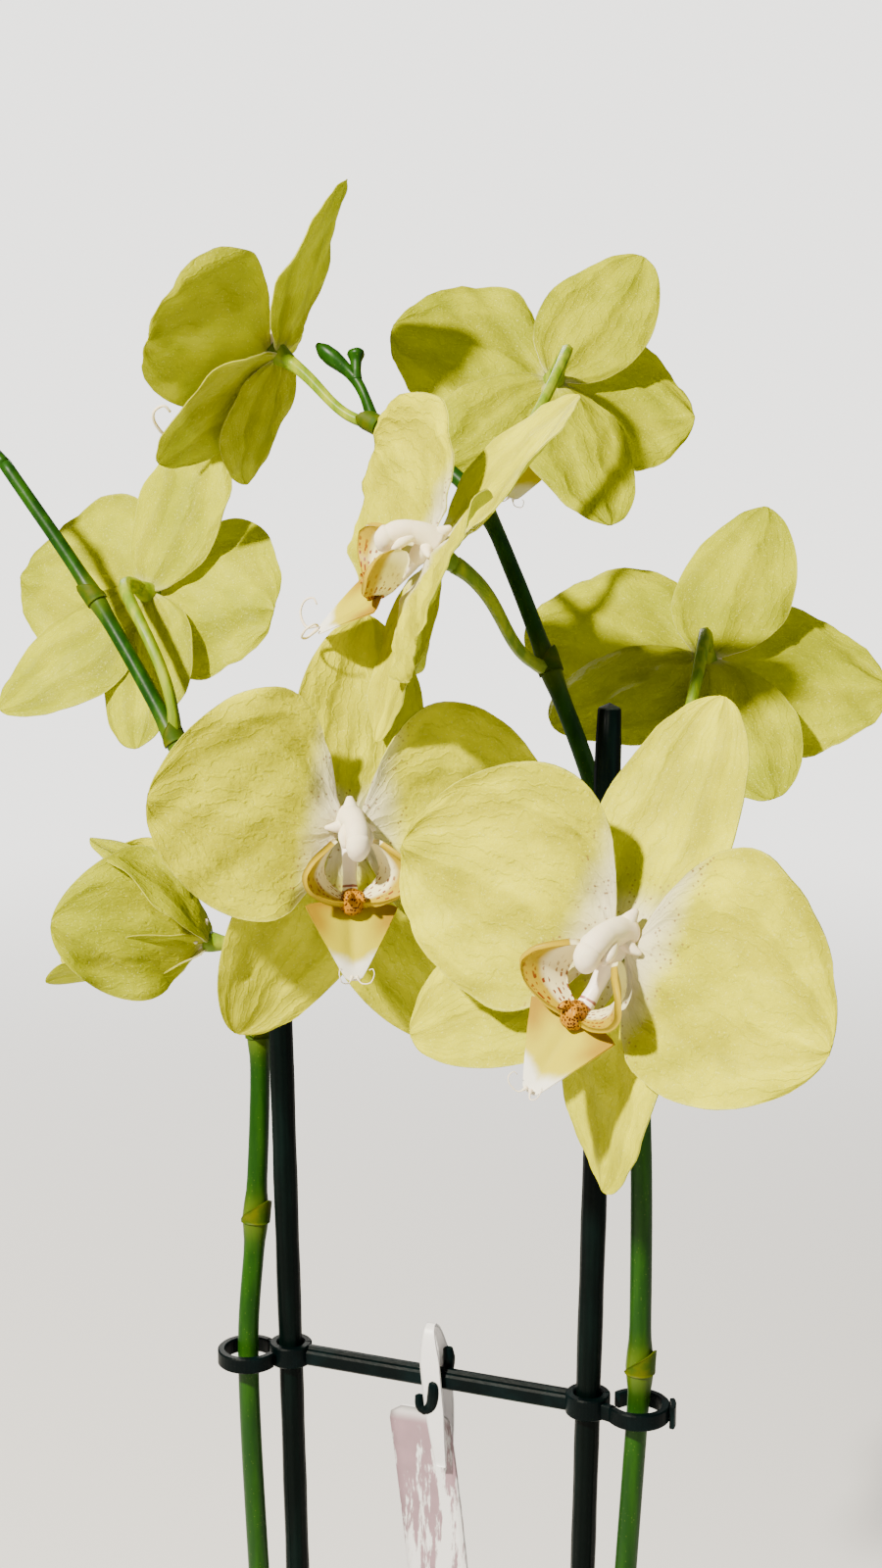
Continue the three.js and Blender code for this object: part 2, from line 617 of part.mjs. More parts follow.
function spike(name, { route, thickTo, nodes, bears, tips }) {
  const points = route.map((p) => vec(...p));
  const radiusAt = (i) => (i < thickTo ? SPIKE_LOWER_RADIUS : SPIKE_UPPER_RADIUS);
  const lower = new THREE.CatmullRomCurve3(points.slice(0, thickTo + 1));
  const upper = new THREE.CatmullRomCurve3(points.slice(thickTo));
  const parts = [
    tube(lower, SPIKE_LOWER_RADIUS, 15),
    tube(upper, SPIKE_UPPER_RADIUS, 9),
    ball(SPIKE_LOWER_RADIUS * 1.05, points[thickTo]),
    ...nodes.map((i) => ball(radiusAt(i) * NODE_SWELL, points[i])),
  ];
  for (const tip of tips) {
    const line = tip.map((p) => vec(...p));
    parts.push(tube(new THREE.CatmullRomCurve3(line), SPIKE_TIP_RADIUS, 3));
    parts.push(ball(SPIKE_TIP_RADIUS * 1.3, line[line.length - 1]));
  }
  for (const { flower: borne, node, out } of bears) {
    const { back, away } = joints[borne];
    const start = points[node];
    const reach = start.distanceTo(back) * 0.4;
    const first = start.clone().addScaledVector(vec(...out).normalize(), reach);
    const last = back.clone().addScaledVector(away.clone().normalize(), reach);
    parts.push(tube(new THREE.CubicBezierCurve3(start, first, last, back), PEDICEL_RADIUS, 6));
  }
  piece(name, join(parts), spikeSkin);
}

spike("left_spike", LEFT_SPIKE);
spike("right_spike", RIGHT_SPIKE);

// ---- Clip that ties both spikes to both stakes ----
function ringOutline(outer, inner) {
  const shape = new THREE.Shape().absarc(0, 0, outer, 0, 2 * Math.PI);
  shape.holes.push(new THREE.Path().absarc(0, 0, inner, 0, 2 * Math.PI));
  return shape;
}

function flatRing(outer, inner, x, y) {
  const ring = new THREE.ExtrudeGeometry(ringOutline(outer, inner), {
    depth: CLIP_HEIGHT,
    curveSegments: 6,
    bevelEnabled: false,
  });
  return ring.translate(x, y, CLIP_Z - CLIP_HEIGHT / 2);
}

const clipTurn = Math.atan2(-STAKE_HALF_SPACING_Y, stakeX(1, CLIP_Z));

function clip() {
  const grip = STAKE_RADIUS + FIT;
  const gripOuter = grip + CLIP_WALL;
  const loopOuter = CLIP_LOOP_RADIUS + CLIP_WALL;
  const gripX = stakeX(1, CLIP_Z);
  const span = 2 * Math.hypot(gripX, STAKE_HALF_SPACING_Y);
  const bar = new THREE.BoxGeometry(span - 2 * grip - CLIP_WALL, CLIP_BAR_DEPTH, CLIP_HEIGHT * 0.9);
  bar.rotateZ(clipTurn).translate(0, 0, CLIP_Z);
  const parts = [bar];
  for (const side of [-1, 1]) {
    const x = side * gripX;
    const y = -side * STAKE_HALF_SPACING_Y;
    parts.push(flatRing(gripOuter, grip, x, y));
    const [loopX, loopY] = side < 0 ? SPIKE_AT_CLIP.left : SPIKE_AT_CLIP.right;
    parts.push(flatRing(loopOuter, CLIP_LOOP_RADIUS, loopX, loopY));
  }
  for (const side of [-1, 1]) {
    const prong = new THREE.BoxGeometry(CLIP_PRONG, CLIP_PRONG, CLIP_PRONG_LENGTH);
    prong.translate(side * CLIP_PRONG_OFFSET, side * CLIP_PRONG_PROUD, side * CLIP_PRONG_LENGTH * 0.6);
    parts.push(prong.rotateZ(clipTurn).translate(0, 0, CLIP_Z));
  }
  const spikeRoom = [SPIKE_AT_CLIP.left, SPIKE_AT_CLIP.right].map(([x, y]) =>
    upright(CLIP_LOOP_RADIUS, 3 * CLIP_HEIGHT, CLIP_Z - 1.5 * CLIP_HEIGHT, x, y, 12));
  return cut(join(parts), [stakeRod(-1, grip), stakeRod(1, grip), ...spikeRoom]);
}

piece("stake_clip", clip(), clipPlastic);

// ---- Hang tag: a strap round the bar, and a plate below it ----
function roundedOutline(width, height, radius) {
  const w = width / 2 - radius;
  const h = height / 2 - radius;
  const shape = new THREE.Shape();
  shape.absarc(w, h, radius, 0, Math.PI / 2);
  shape.absarc(-w, h, radius, Math.PI / 2, Math.PI);
  shape.absarc(-w, -h, radius, Math.PI, 1.5 * Math.PI);
  shape.absarc(w, -h, radius, 1.5 * Math.PI, 2 * Math.PI);
  return shape;
}

function tag() {
  const inner = CLIP_BAR_DEPTH + 2 * TAG_SLACK;
  const outline = roundedOutline(inner + 2 * TAG_THICK, TAG_LOOP_HEIGHT, inner / 2 + TAG_THICK);
  outline.holes.push(roundedOutline(inner, TAG_LOOP_HEIGHT - 2 * TAG_THICK, inner / 2 - 0.01));
  const strap = new THREE.ExtrudeGeometry(outline, {
    depth: TAG_STRAP_WIDTH,
    curveSegments: 3,
    bevelEnabled: false,
  });
  strap.translate(0, 0, -TAG_STRAP_WIDTH / 2).rotateX(Math.PI / 2).rotateZ(Math.PI / 2);
  strap.translate(0, 0, TAG_LOOP_TOP - TAG_LOOP_HEIGHT / 2);
  const plate = new THREE.ExtrudeGeometry(roundedOutline(TAG_WIDTH, TAG_LENGTH, TAG_CORNER), {
    depth: TAG_THICK,
    curveSegments: 2,
    bevelEnabled: false,
  });
  plate.rotateX(Math.PI / 2).translate(-TAG_WIDTH * TAG_OFFSET, TAG_THICK / 2, -TAG_LENGTH / 2);
  plate.rotateY(rad(-TAG_SWING)).rotateZ(rad(TAG_TURN)).translate(0, 0, TAG_PLATE_TOP);
  return join([strap, plate]).rotateZ(clipTurn).translate(TAG_X, TAG_X * Math.tan(clipTurn), CLIP_Z);
}

piece("hang_tag", tag(), tagPlastic);

export default plant;
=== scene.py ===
"""A potted moth orchid: two staked spikes with eight yellow flowers, leaves, roots, bark and pots."""
import math
import random

import bpy
import numpy as np
from mathutils import Matrix, Vector


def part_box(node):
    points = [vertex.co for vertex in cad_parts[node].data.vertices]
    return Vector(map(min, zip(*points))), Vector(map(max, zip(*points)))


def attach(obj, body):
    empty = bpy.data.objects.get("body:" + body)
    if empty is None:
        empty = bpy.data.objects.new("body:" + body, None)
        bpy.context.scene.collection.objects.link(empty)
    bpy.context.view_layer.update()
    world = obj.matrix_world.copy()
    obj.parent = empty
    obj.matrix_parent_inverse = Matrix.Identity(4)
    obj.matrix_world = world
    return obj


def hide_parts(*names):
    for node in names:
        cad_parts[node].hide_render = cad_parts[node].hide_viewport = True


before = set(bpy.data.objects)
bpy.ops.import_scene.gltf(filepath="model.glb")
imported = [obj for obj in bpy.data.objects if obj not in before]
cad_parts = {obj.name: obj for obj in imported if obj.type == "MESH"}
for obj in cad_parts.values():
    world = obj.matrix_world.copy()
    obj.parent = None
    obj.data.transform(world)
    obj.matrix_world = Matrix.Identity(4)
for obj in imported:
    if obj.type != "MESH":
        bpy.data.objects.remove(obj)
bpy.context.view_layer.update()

MM = 0.001
BODY = "root"


# ---- mesh helpers
def unit(v):
    """A vector, or each vector of a grid, at length 1."""
    v = np.asarray(v, float)
    return v / np.linalg.norm(v, axis=-1, keepdims=True)


def new_object(name, points, faces, material, slot, replaced=(), marks=None, smooth=True):
    """A mesh object from points in millimetres, which rides on the object's one body."""
    mesh = bpy.data.meshes.new(name)
    mesh.from_pydata([tuple(float(c) * MM for c in p) for p in points], [], [tuple(f) for f in faces])
    mesh.update()
    for key, values in (marks or {}).items():
        layer = mesh.attributes.new(key, "FLOAT", "POINT")
        layer.data.foreach_set("value", np.asarray(values, dtype=np.float32))
    mesh.polygons.foreach_set("use_smooth", [smooth] * len(mesh.polygons))
    mesh.materials.append(material)
    piece = bpy.data.objects.new(name, mesh)
    bpy.context.scene.collection.objects.link(piece)
    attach(piece, BODY)
    if replaced:
        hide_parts(*replaced)
    return piece


def merged(*parts):
    """One list of points and one of faces from several such pairs."""
    points, faces = [], []
    for part_points, part_faces in parts:
        start = len(points)
        points.extend(part_points)
        faces.extend([[i + start for i in face] for face in part_faces])
    return points, faces


def grid_faces(rows, columns, start=0, flip=False, wrap=False):
    """Quads between the points of a grid that is listed row by row."""
    faces = []
    last = columns if wrap else columns - 1
    for i in range(rows - 1):
        for j in range(last):
            k = (j + 1) % columns
            quad = [start + i * columns + j, start + i * columns + k,
                start + (i + 1) * columns + k, start + (i + 1) * columns + j]
            faces.append(quad[::-1] if flip else quad)
    return faces


def shell(front, back):
    """A closed thin solid between two grids of points, which share their layout."""
    rows, columns = front.shape[:2]
    count = rows * columns
    points = np.concatenate([front.reshape(-1, 3), back.reshape(-1, 3)])
    faces = grid_faces(rows, columns) + grid_faces(rows, columns, count, flip=True)
    rim = [i * columns for i in range(rows)]
    rim += [(rows - 1) * columns + j for j in range(1, columns)]
    rim += [i * columns + columns - 1 for i in range(rows - 2, -1, -1)]
    rim += list(range(columns - 2, 0, -1))
    for here, there in zip(rim, rim[1:] + rim[:1]):
        faces.append([there, here, here + count, there + count])
    return points, faces


def smooth_route(points, count):
    """Evenly spaced points of a smooth curve through the given ones, and the share of its length at each."""
    p = np.asarray(points, float)
    ends = np.vstack([2 * p[0] - p[1], p, 2 * p[-1] - p[-2]])
    fine = []
    for i in range(len(p) - 1):
        a, b, c, d = ends[i:i + 4]
        for t in np.linspace(0, 1, 24, endpoint=False):
            fine.append(0.5 * (2 * b + (c - a) * t + (2 * a - 5 * b + 4 * c - d) * t ** 2
                + (3 * b - a - 3 * c + d) * t ** 3))
    fine.append(p[-1])
    fine = np.array(fine)
    length = np.concatenate([[0], np.cumsum(np.linalg.norm(np.diff(fine, axis=0), axis=1))])
    at = np.linspace(0, length[-1], count)
    return np.stack([np.interp(at, length, fine[:, k]) for k in range(3)], 1), at / length[-1]


def carried_frames(route):
    """Two directions square to the route at each of its points, turned as little as possible along it."""
    tangents = unit(np.gradient(route, axis=0))
    side = unit(np.cross(tangents[0], [0.0, 1.0, 0.2]))
    sides = []
    for tangent in tangents:
        side = unit(side - tangent * side.dot(tangent))
        sides.append(side)
    sides = np.array(sides)
    return tangents, sides, np.cross(tangents, sides)


def swept(route, radii, sides=16, ridges=0, ridge_depth=0.0):
    """A tube with closed round ends, with a radius for each point of its route."""
    tangents, across, upward = carried_frames(route)
    turns = np.linspace(0, 2 * math.pi, sides, endpoint=False)
    groove = 1 + ridge_depth * np.cos(ridges * turns)
    rings = []
    for centre, a, b, radius in zip(route, across, upward, radii):
        rings.append(centre + np.outer(np.cos(turns) * groove * radius, a)
            + np.outer(np.sin(turns) * groove * radius, b))
    points = list(np.concatenate(rings))
    faces = grid_faces(len(route), sides, wrap=True)
    for end, ring, outward in ((0, 0, -tangents[0]), (1, len(route) - 1, tangents[-1])):
        points.append(route[ring] + outward * radii[ring] * 0.5)
        tip = len(points) - 1
        for j in range(sides):
            k = (j + 1) % sides
            face = [ring * sides + j, ring * sides + k, tip]
            faces.append(face if end else face[::-1])
    return points, faces


def ring_marks(key, values, sides, ends=(0, 0)):
    """A mark for each ring of a swept solid and one for each of its ends."""
    return {key: np.concatenate([np.repeat(values, sides), ends])}


def tube(points, count, shares, radii, sides, **ridged):
    """A swept solid on a smooth curve through the points, with radii given at shares of its length."""
    route, share = smooth_route(points, count)
    return swept(route, np.interp(share, shares, radii), sides, **ridged)


def turned(profile, sides):
    """A solid of revolution about Z from (radius, height) pairs that start and end on the axis."""
    turns = np.linspace(0, 2 * math.pi, sides, endpoint=False)
    inner = profile[1:-1]
    points = [(r * math.cos(a), r * math.sin(a), z) for r, z in inner for a in turns]
    faces = grid_faces(len(inner), sides, wrap=True)
    for (_, z), ring, flip in ((profile[0], 0, True), (profile[-1], len(inner) - 1, False)):
        points.append((0, 0, z))
        for j in range(sides):
            face = [ring * sides + j, ring * sides + (j + 1) % sides, len(points) - 1]
            faces.append(face[::-1] if flip else face)
    return points, faces


def rounded(corners, radius, steps=4):
    """An open outline whose inner corners are rounded."""
    out = [corners[0]]
    for before, corner, after in zip(corners, corners[1:], corners[2:]):
        before, corner, after = (np.array(p, float) for p in (before, corner, after))
        reach = min(radius, *(np.linalg.norm(p - corner) * 0.45 for p in (before, after)))
        start, end = (corner + unit(p - corner) * reach for p in (before, after))
        for t in np.linspace(0, 1, steps + 1):
            out.append(tuple((1 - t) ** 2 * start + 2 * t * (1 - t) * corner + t ** 2 * end))
    out.append(corners[-1])
    return out


# ---- material helpers
class Nodes:
    """A material's node tree, with a method for each kind of node used here."""

    def __init__(self, name, color, roughness):
        self.material = bpy.data.materials.new(name)
        self.material.use_nodes = True
        self.tree = self.material.node_tree
        self.shader = self.tree.nodes["Principled BSDF"]
        self.set("Base Color", color)
        self.set("Roughness", roughness)
        self.place = self.made("ShaderNodeTexCoord", "Object", {})

    def put(self, socket, value):
        """Gives a socket a number, a colour or a link."""
        if isinstance(value, bpy.types.NodeSocket):
            self.tree.links.new(value, socket)
        else:
            socket.default_value = (*value, 1) if socket.type == "RGBA" else value

    def set(self, name, value):
        self.put(self.shader.inputs[name], value)

    def made(self, kind, output, inputs, **properties):
        """One output of a new node, whose inputs are given by name or number."""
        node = self.tree.nodes.new(kind)
        for key, value in properties.items():
            setattr(node, key, value)
        for key, value in inputs.items():
            self.put(node.inputs[key], value)
        return node.outputs[output]

    def stretched(self, scale):
        return self.made("ShaderNodeMapping", "Vector", {"Vector": self.place, "Scale": scale})

    def noise(self, scale, detail=3.0, vector=None, roughness=0.5):
        return self.made("ShaderNodeTexNoise", "Fac", {
            "Vector": vector or self.place, "Scale": scale, "Detail": detail, "Roughness": roughness})

    def spots(self, scale):
        return self.made("ShaderNodeTexVoronoi", "Distance", {"Vector": self.place, "Scale": scale})

    def attribute(self, name):
        return self.made("ShaderNodeAttribute", "Fac", {}, attribute_name=name)

    def math(self, operation, first, second=0.0, third=0.0):
        return self.made("ShaderNodeMath", 0, {0: first, 1: second, 2: third}, operation=operation)

    def times(self, first, second):
        return self.math("MULTIPLY", first, second)

    def scaled(self, value, factor, offset):
        return self.math("MULTIPLY_ADD", value, factor, offset)

    def wave(self, value):
        return self.math("SINE", value)

    def size(self, value):
        return self.math("ABSOLUTE", value)

    def ramp(self, value, low, high):
        """0 below low, 1 above high, smooth between."""
        return self.made("ShaderNodeMapRange", "Result", {"Value": value, "From Min": low, "From Max": high},
            interpolation_type="SMOOTHSTEP")

    def mix(self, share, first, second, blend="MIX"):
        return self.made("ShaderNodeMix", "Result", {"Factor": share, "A": first, "B": second},
            data_type="RGBA", blend_type=blend)

    def color(self, value):
        self.set("Base Color", value)

    def specular(self, level):
        self.set("Specular IOR Level", level)

    def gloss(self, scale, detail, low, high):
        """A roughness that varies between low and high."""
        self.set("Roughness", self.made("ShaderNodeMapRange", "Result", {
            "Value": self.noise(scale, detail), "To Min": low, "To Max": high}))

    def bump(self, height, strength, distance):
        normal = self.made("ShaderNodeBump", "Normal", {
            "Strength": strength, "Distance": distance, "Height": height})
        self.set("Normal", normal)
        return normal

    def bumps(self, scale, detail, strength, distance):
        return self.bump(self.noise(scale, detail), strength, distance)

    def glow(self, color, share, normal=None):
        """Lets a share of the light through the sheet, tinted."""
        inputs = {"Color": color, "Normal": normal} if normal else {"Color": color}
        through = self.made("ShaderNodeBsdfTranslucent", "BSDF", inputs)
        both = self.made("ShaderNodeMixShader", "Shader", {
            "Fac": share, 1: self.shader.outputs["BSDF"], 2: through})
        self.put(self.tree.nodes["Material Output"].inputs["Surface"], both)


def petal_material():
    """Lemon yellow, translucent, crumpled along its veins, cream at the throat with small purple freckles;
    its colour also carries painted shade on its backs, along its folds and in clouds, and fine painted
    glints.
    """
    n = Nodes("petal", (0.86, 0.82, 0.0), 0.5)
    along, across, front = n.attribute("along"), n.attribute("across"), n.attribute("front")
    # Darker clouds on both faces: partly the petal's own faint blotches, partly painted shade patches.
    cloud = n.ramp(n.noise(55, 5, roughness=0.6), 0.32, 0.68)
    face = n.mix(cloud, (0.86, 0.81, 0.0), (0.56, 0.53, 0.0))
    # Painted shade: the back face gets darker olive colours than the front, standing for its shaded side.
    back = n.mix(cloud, (0.52, 0.52, 0.0), (0.34, 0.36, 0.0))
    sheet = n.mix(front, back, face)
    drift = n.times(n.noise(38, 3), 8.0)
    # Painted shade along the folds: a multiply darkens the colour in wavy lengthwise bands; the same bands
    # also shape the bump below.
    fold_shade_and_bump = n.ramp(n.wave(n.scaled(across, 8.0, drift)), -0.3, 1.0)
    body = n.mix(n.times(fold_shade_and_bump, 0.5), sheet, (0.62, 0.6, 0.5), "MULTIPLY")
    waver = n.times(n.noise(70, 4, roughness=0.65), 30.0)
    veins = n.ramp(n.wave(n.scaled(across, 42.0, waver)), 0.55, 1.0)
    veined = n.mix(n.times(veins, 0.14), body, (0.45, 0.46, 0.0))
    # Painted highlight: fine pale glints mixed into the colour.
    painted_glints = n.ramp(n.noise(2200, 1), 0.62, 0.72)
    glinted = n.mix(n.times(painted_glints, 0.35), veined, (0.97, 0.95, 0.25))
    reach = n.scaled(n.math("SUBTRACT", 1.0, front), 0.16, along)
    throat = n.ramp(n.scaled(n.noise(110, 2), 0.1, reach), 0.31, 0.1)
    pale = n.mix(n.times(throat, 0.95), glinted, (0.93, 0.84, 0.6))
    rim = n.ramp(n.size(across), 0.97, 1.0)
    edged = n.mix(n.times(rim, 0.2), pale, (0.95, 0.93, 0.25))
    freckle = n.times(n.ramp(n.spots(900), 0.3, 0.18), n.ramp(n.noise(230, 1), 0.46, 0.56))
    near = n.times(n.ramp(along, 0.34, 0.2), n.times(freckle, n.times(front, 0.75)))
    n.color(n.mix(near, edged, (0.2, 0.03, 0.05)))
    n.gloss(1500, 2, 0.4, 0.6)
    crumple = n.noise(140, 5, roughness=0.6)
    furrows = n.scaled(fold_shade_and_bump, -0.9, crumple)
    ribs = n.scaled(veins, 0.18, n.times(n.noise(900, 3), 0.22))
    n.specular(0.08)
    normal = n.bump(n.scaled(furrows, 1.4, ribs), 0.55, 0.0009)
    n.glow((0.68, 0.73, 0.0), 0.34, normal)
    return n.material


def column_material():
    n = Nodes("column", (0.9, 0.84, 0.74), 0.55)
    blush = n.ramp(n.noise(240, 3), 0.45, 0.75)
    n.color(n.mix(n.times(blush, 0.35), (0.86, 0.75, 0.54), (0.72, 0.5, 0.4)))
    n.bumps(500, 3, 0.3, 0.0004)
    n.specular(0.1)
    n.set("Subsurface Weight", 0.3)
    n.set("Subsurface Radius", (0.002, 0.0015, 0.001))
    return n.material


def lip_middle_material():
    """Bright yellow, orange at its shoulders and white at the tip."""
    n = Nodes("lip_middle", (0.78, 0.62, 0.0), 0.6)
    along, across = n.attribute("along"), n.attribute("across")
    wavy = n.scaled(n.noise(300, 2), 0.16, along)
    warm = n.mix(n.ramp(wavy, 0.1, 0.36), (0.4, 0.25, 0.0), (0.56, 0.48, 0.0))
    shoulder = n.times(n.ramp(n.size(across), 0.3, 0.9), n.ramp(wavy, 0.7, 0.34))
    rich = n.mix(n.times(shoulder, 0.9), warm, (0.32, 0.175, 0.0))
    white = n.scaled(n.size(across), 0.14, wavy)
    n.color(n.mix(n.ramp(white, 0.8, 0.98), rich, (0.9, 0.86, 0.74)))
    n.specular(0.1)
    normal = n.bumps(1100, 2, 0.25, 0.0002)
    n.glow((0.7, 0.5, 0.0), 0.15, normal)
    return n.material


def lip_side_material():
    """Cream with a yellow-orange fore margin and dark red streaks near the throat."""
    n = Nodes("lip_side", (0.95, 0.9, 0.74), 0.4)
    along, across = n.attribute("along"), n.attribute("across")
    fore = n.scaled(n.noise(200, 2), 0.3, n.scaled(along, -0.25, across))
    edged = n.mix(n.ramp(fore, 0.05, 0.5), (0.85, 0.77, 0.42), (0.42, 0.29, 0.0))
    streak = n.wave(n.scaled(across, 21.0, n.times(n.noise(160, 1), 5.0)))
    broken = n.times(n.ramp(streak, 0.0, 0.5), n.ramp(n.spots(900), 0.5, 0.38))
    low = n.times(n.ramp(along, 0.85, 0.4), broken)
    n.color(n.mix(n.times(low, 0.95), edged, (0.16, 0.008, 0.006)))
    n.specular(0.1)
    normal = n.bumps(900, 2, 0.15, 0.0002)
    n.glow((0.7, 0.5, 0.0), 0.12, normal)
    return n.material


def callus_material():
    """Orange, thickly dotted with dark red brown."""
    n = Nodes("callus", (0.85, 0.3, 0.0), 0.35)
    dots = n.ramp(n.spots(1700), 0.5, 0.34)
    n.color(n.mix(n.times(dots, 0.95), (0.38, 0.16, 0.0), (0.03, 0.002, 0.001)))
    n.specular(0.1)
    n.bumps(1500, 2, 0.2, 0.0002)
    return n.material


def neck_material():
    """Pinkish white, barred with maroon toward the lip's crest."""
    n = Nodes("lip_neck", (0.93, 0.8, 0.74), 0.4)
    along = n.attribute("along")
    bars = n.wave(n.scaled(along, 52.0, n.times(n.noise(350, 1), 4.0)))
    far = n.times(n.ramp(along, 0.6, 0.72), n.ramp(bars, 0.1, 0.5))
    n.color(n.mix(n.times(far, 0.9), (0.93, 0.82, 0.74), (0.22, 0.012, 0.02)))
    n.bumps(900, 2, 0.15, 0.0002)
    return n.material


def stem_material(name, dark, light):
    """Smooth waxy green, lighter in long streaks, with faint pale specks."""
    n = Nodes(name, dark, 0.38)
    streak = n.ramp(n.noise(60, 3, n.stretched((6, 6, 0.7))), 0.35, 0.75)
    green = n.mix(n.times(streak, 0.6), dark, light)
    speck = n.ramp(n.spots(900), 0.16, 0.08)
    swell = n.attribute("swell")
    joint = n.mix(n.times(swell, 0.6), green, (0.1, 0.14, 0.002))
    n.color(n.mix(n.times(speck, 0.2), joint, (0.2, 0.26, 0.04)))
    n.bumps(700, 3, 0.15, 0.0003)
    n.gloss(160, 2, 0.28, 0.5)
    n.specular(0.15)
    return n.material


def mottled(name, base, roughness, cloud, colors, bump, gloss=None, specular=0.5, stretch=None):
    """Two colours in clouds over a bumpy skin; each noise here starts with its scale and detail."""
    n = Nodes(name, base, roughness)
    n.color(n.mix(n.ramp(n.noise(*cloud[:2], stretch and n.stretched(stretch)), *cloud[2:]), *colors))
    n.bumps(*bump)
    if gloss:
        n.gloss(*gloss)
    n.specular(specular)
    return n.material


def leaf_material():
    """Thick glossy dark green, paler along the midrib, with fine lengthwise veins."""
    n = Nodes("leaf", (0.06, 0.16, 0.03), 0.32)
    along, across = n.attribute("along"), n.attribute("across")
    cloud = n.ramp(n.noise(28, 4), 0.3, 0.75)
    green = n.mix(cloud, (0.035, 0.115, 0.02), (0.075, 0.19, 0.035))
    veins = n.wave(n.scaled(across, 60.0, n.times(n.noise(20, 1), 3.0)))
    lined = n.mix(n.times(n.ramp(veins, 0.4, 1.0), 0.18), green, (0.12, 0.26, 0.06))
    rib = n.mix(n.times(n.ramp(n.size(across), 0.07, 0.0), 0.35), lined, (0.16, 0.3, 0.07))
    n.color(n.mix(n.times(n.ramp(along, 0.18, 0.0), 0.7), rib, (0.22, 0.36, 0.1)))
    n.bump(n.math("ADD", n.times(veins, 0.3), n.noise(350, 3)), 0.18, 0.0005)
    n.gloss(60, 3, 0.24, 0.46)
    n.set("Coat Weight", 0.2)
    return n.material


def bark_material():
    n = Nodes("bark", (0.2, 0.1, 0.05), 0.85)
    layers = n.noise(260, 4, n.stretched((1, 1, 3)))
    tone = n.mix(n.ramp(n.noise(70, 2), 0.3, 0.7), (0.13, 0.06, 0.03), (0.34, 0.19, 0.1))
    n.color(n.mix(n.ramp(layers, 0.45, 0.75), tone, (0.07, 0.035, 0.02)))
    n.bump(layers, 0.8, 0.0012)
    return n.material


def tag_material():
    """White plastic with a brushed mauve pattern, which thins out toward the foot."""
    n = Nodes("tag", (0.8, 0.78, 0.78), 0.42)
    along = n.attribute("along")
    strokes = n.noise(95, 5, n.stretched((2.4, 2.4, 0.5)), 0.7)
    level = n.scaled(along, -0.16, strokes)
    printed = n.times(n.ramp(level, 0.4, 0.47), n.ramp(along, 0.0, 0.06))
    wash = n.mix(n.noise(200, 3), (0.12, 0.03, 0.055), (0.3, 0.12, 0.17))
    n.color(n.mix(n.times(printed, 0.85), (0.8, 0.78, 0.78), wash))
    n.bumps(500, 2, 0.06, 0.0002)
    n.glow((0.8, 0.76, 0.76), 0.12)
    return n.material


def strap_material():
    n = Nodes("tag_strap", (0.86, 0.84, 0.84), 0.4)
    n.color(n.mix(n.noise(120, 3), (0.88, 0.86, 0.86), (0.8, 0.78, 0.79)))
    n.bumps(500, 2, 0.06, 0.0002)
    n.glow((0.85, 0.82, 0.82), 0.18)
    return n.material


def glaze_material():
    """Off-white glaze with faint crazing and small pits."""
    n = Nodes("glaze", (0.8, 0.77, 0.7), 0.16)
    cloud = n.ramp(n.noise(18, 4), 0.35, 0.7)
    pits = n.ramp(n.spots(160), 0.08, 0.03)
    n.color(n.mix(n.times(pits, 0.5), n.mix(cloud, (0.8, 0.77, 0.71), (0.74, 0.7, 0.62)), (0.45, 0.38, 0.3)))
    n.bumps(60, 3, 0.12, 0.001)
    n.gloss(90, 3, 0.1, 0.24)
    n.set("Coat Weight", 0.4)
    return n.material


def clear_material():
    n = Nodes("clear_plastic", (0.9, 0.94, 0.92), 0.12)
    n.set("Alpha", 0.32)
    n.color(n.mix(n.ramp(n.noise(50, 4), 0.4, 0.7), (0.86, 0.92, 0.88), (0.72, 0.76, 0.66)))
    n.bumps(120, 3, 0.08, 0.0005)
    return n.material


def floor_material():
    """A pale floor that fades into the pale studio a metre or two away."""
    n = Nodes("floor", (0.86, 0.84, 0.82), 0.75)
    n.color(n.mix(n.noise(3, 2), (0.87, 0.84, 0.82), (0.85, 0.82, 0.8)))
    reach = n.made("ShaderNodeVectorMath", "Value", {0: n.place}, operation="LENGTH")
    n.set("Alpha", n.ramp(reach, 2.4, 0.5))
    return n.material


PETAL_SKIN = petal_material()
COLUMN = column_material()
LIP_MIDDLE = lip_middle_material()
LIP_SIDE = lip_side_material()
CALLUS = callus_material()
NECK = neck_material()
STEM = stem_material("stem", (0.004, 0.032, 0.0), (0.018, 0.078, 0.0))
PEDICEL = stem_material("pedicel", (0.12, 0.2, 0.001), (0.4, 0.43, 0.01))
BRACT = mottled("bract", (0.4, 0.4, 0.06), 0.6, (300, 3, 0.35, 0.7), ((0.028, 0.06, 0.0), (0.07, 0.08, 0.0)),
    (500, 3, 0.3, 0.0003), specular=0.1)
LEAF = leaf_material()
ROOT = mottled("root", (0.5, 0.54, 0.4), 0.7, (180, 4, 0.35, 0.7), ((0.56, 0.6, 0.48), (0.28, 0.36, 0.16)),
    (900, 4, 0.5, 0.0004))
BARK = bark_material()
STAKE = mottled("stake", (0.004, 0.018, 0.012), 0.4, (90, 3, 0.4, 0.75),
    ((0.0003, 0.0018, 0.0014), (0.001, 0.005, 0.004)), (700, 3, 0.2, 0.0003), (240, 3, 0.3, 0.52),
    0.05, (3, 3, 0.4))
STAKE_END = mottled("stake_end", (0.1, 0.14, 0.1), 0.7, (900, 3, 0.4, 0.7),
    ((0.004, 0.012, 0.006), (0.02, 0.03, 0.018)), (1200, 2, 0.4, 0.0003))
CLIP = mottled("clip", (0.006, 0.02, 0.024), 0.4, (120, 3, 0.4, 0.7),
    ((0.0004, 0.002, 0.0022), (0.001, 0.005, 0.0055)), (800, 3, 0.15, 0.0003),
    (200, 3, 0.28, 0.5), 0.05)
TAG = tag_material()
STRAP = strap_material()
GLAZE = glaze_material()
CLEAR = clear_material()
FLOOR = floor_material()


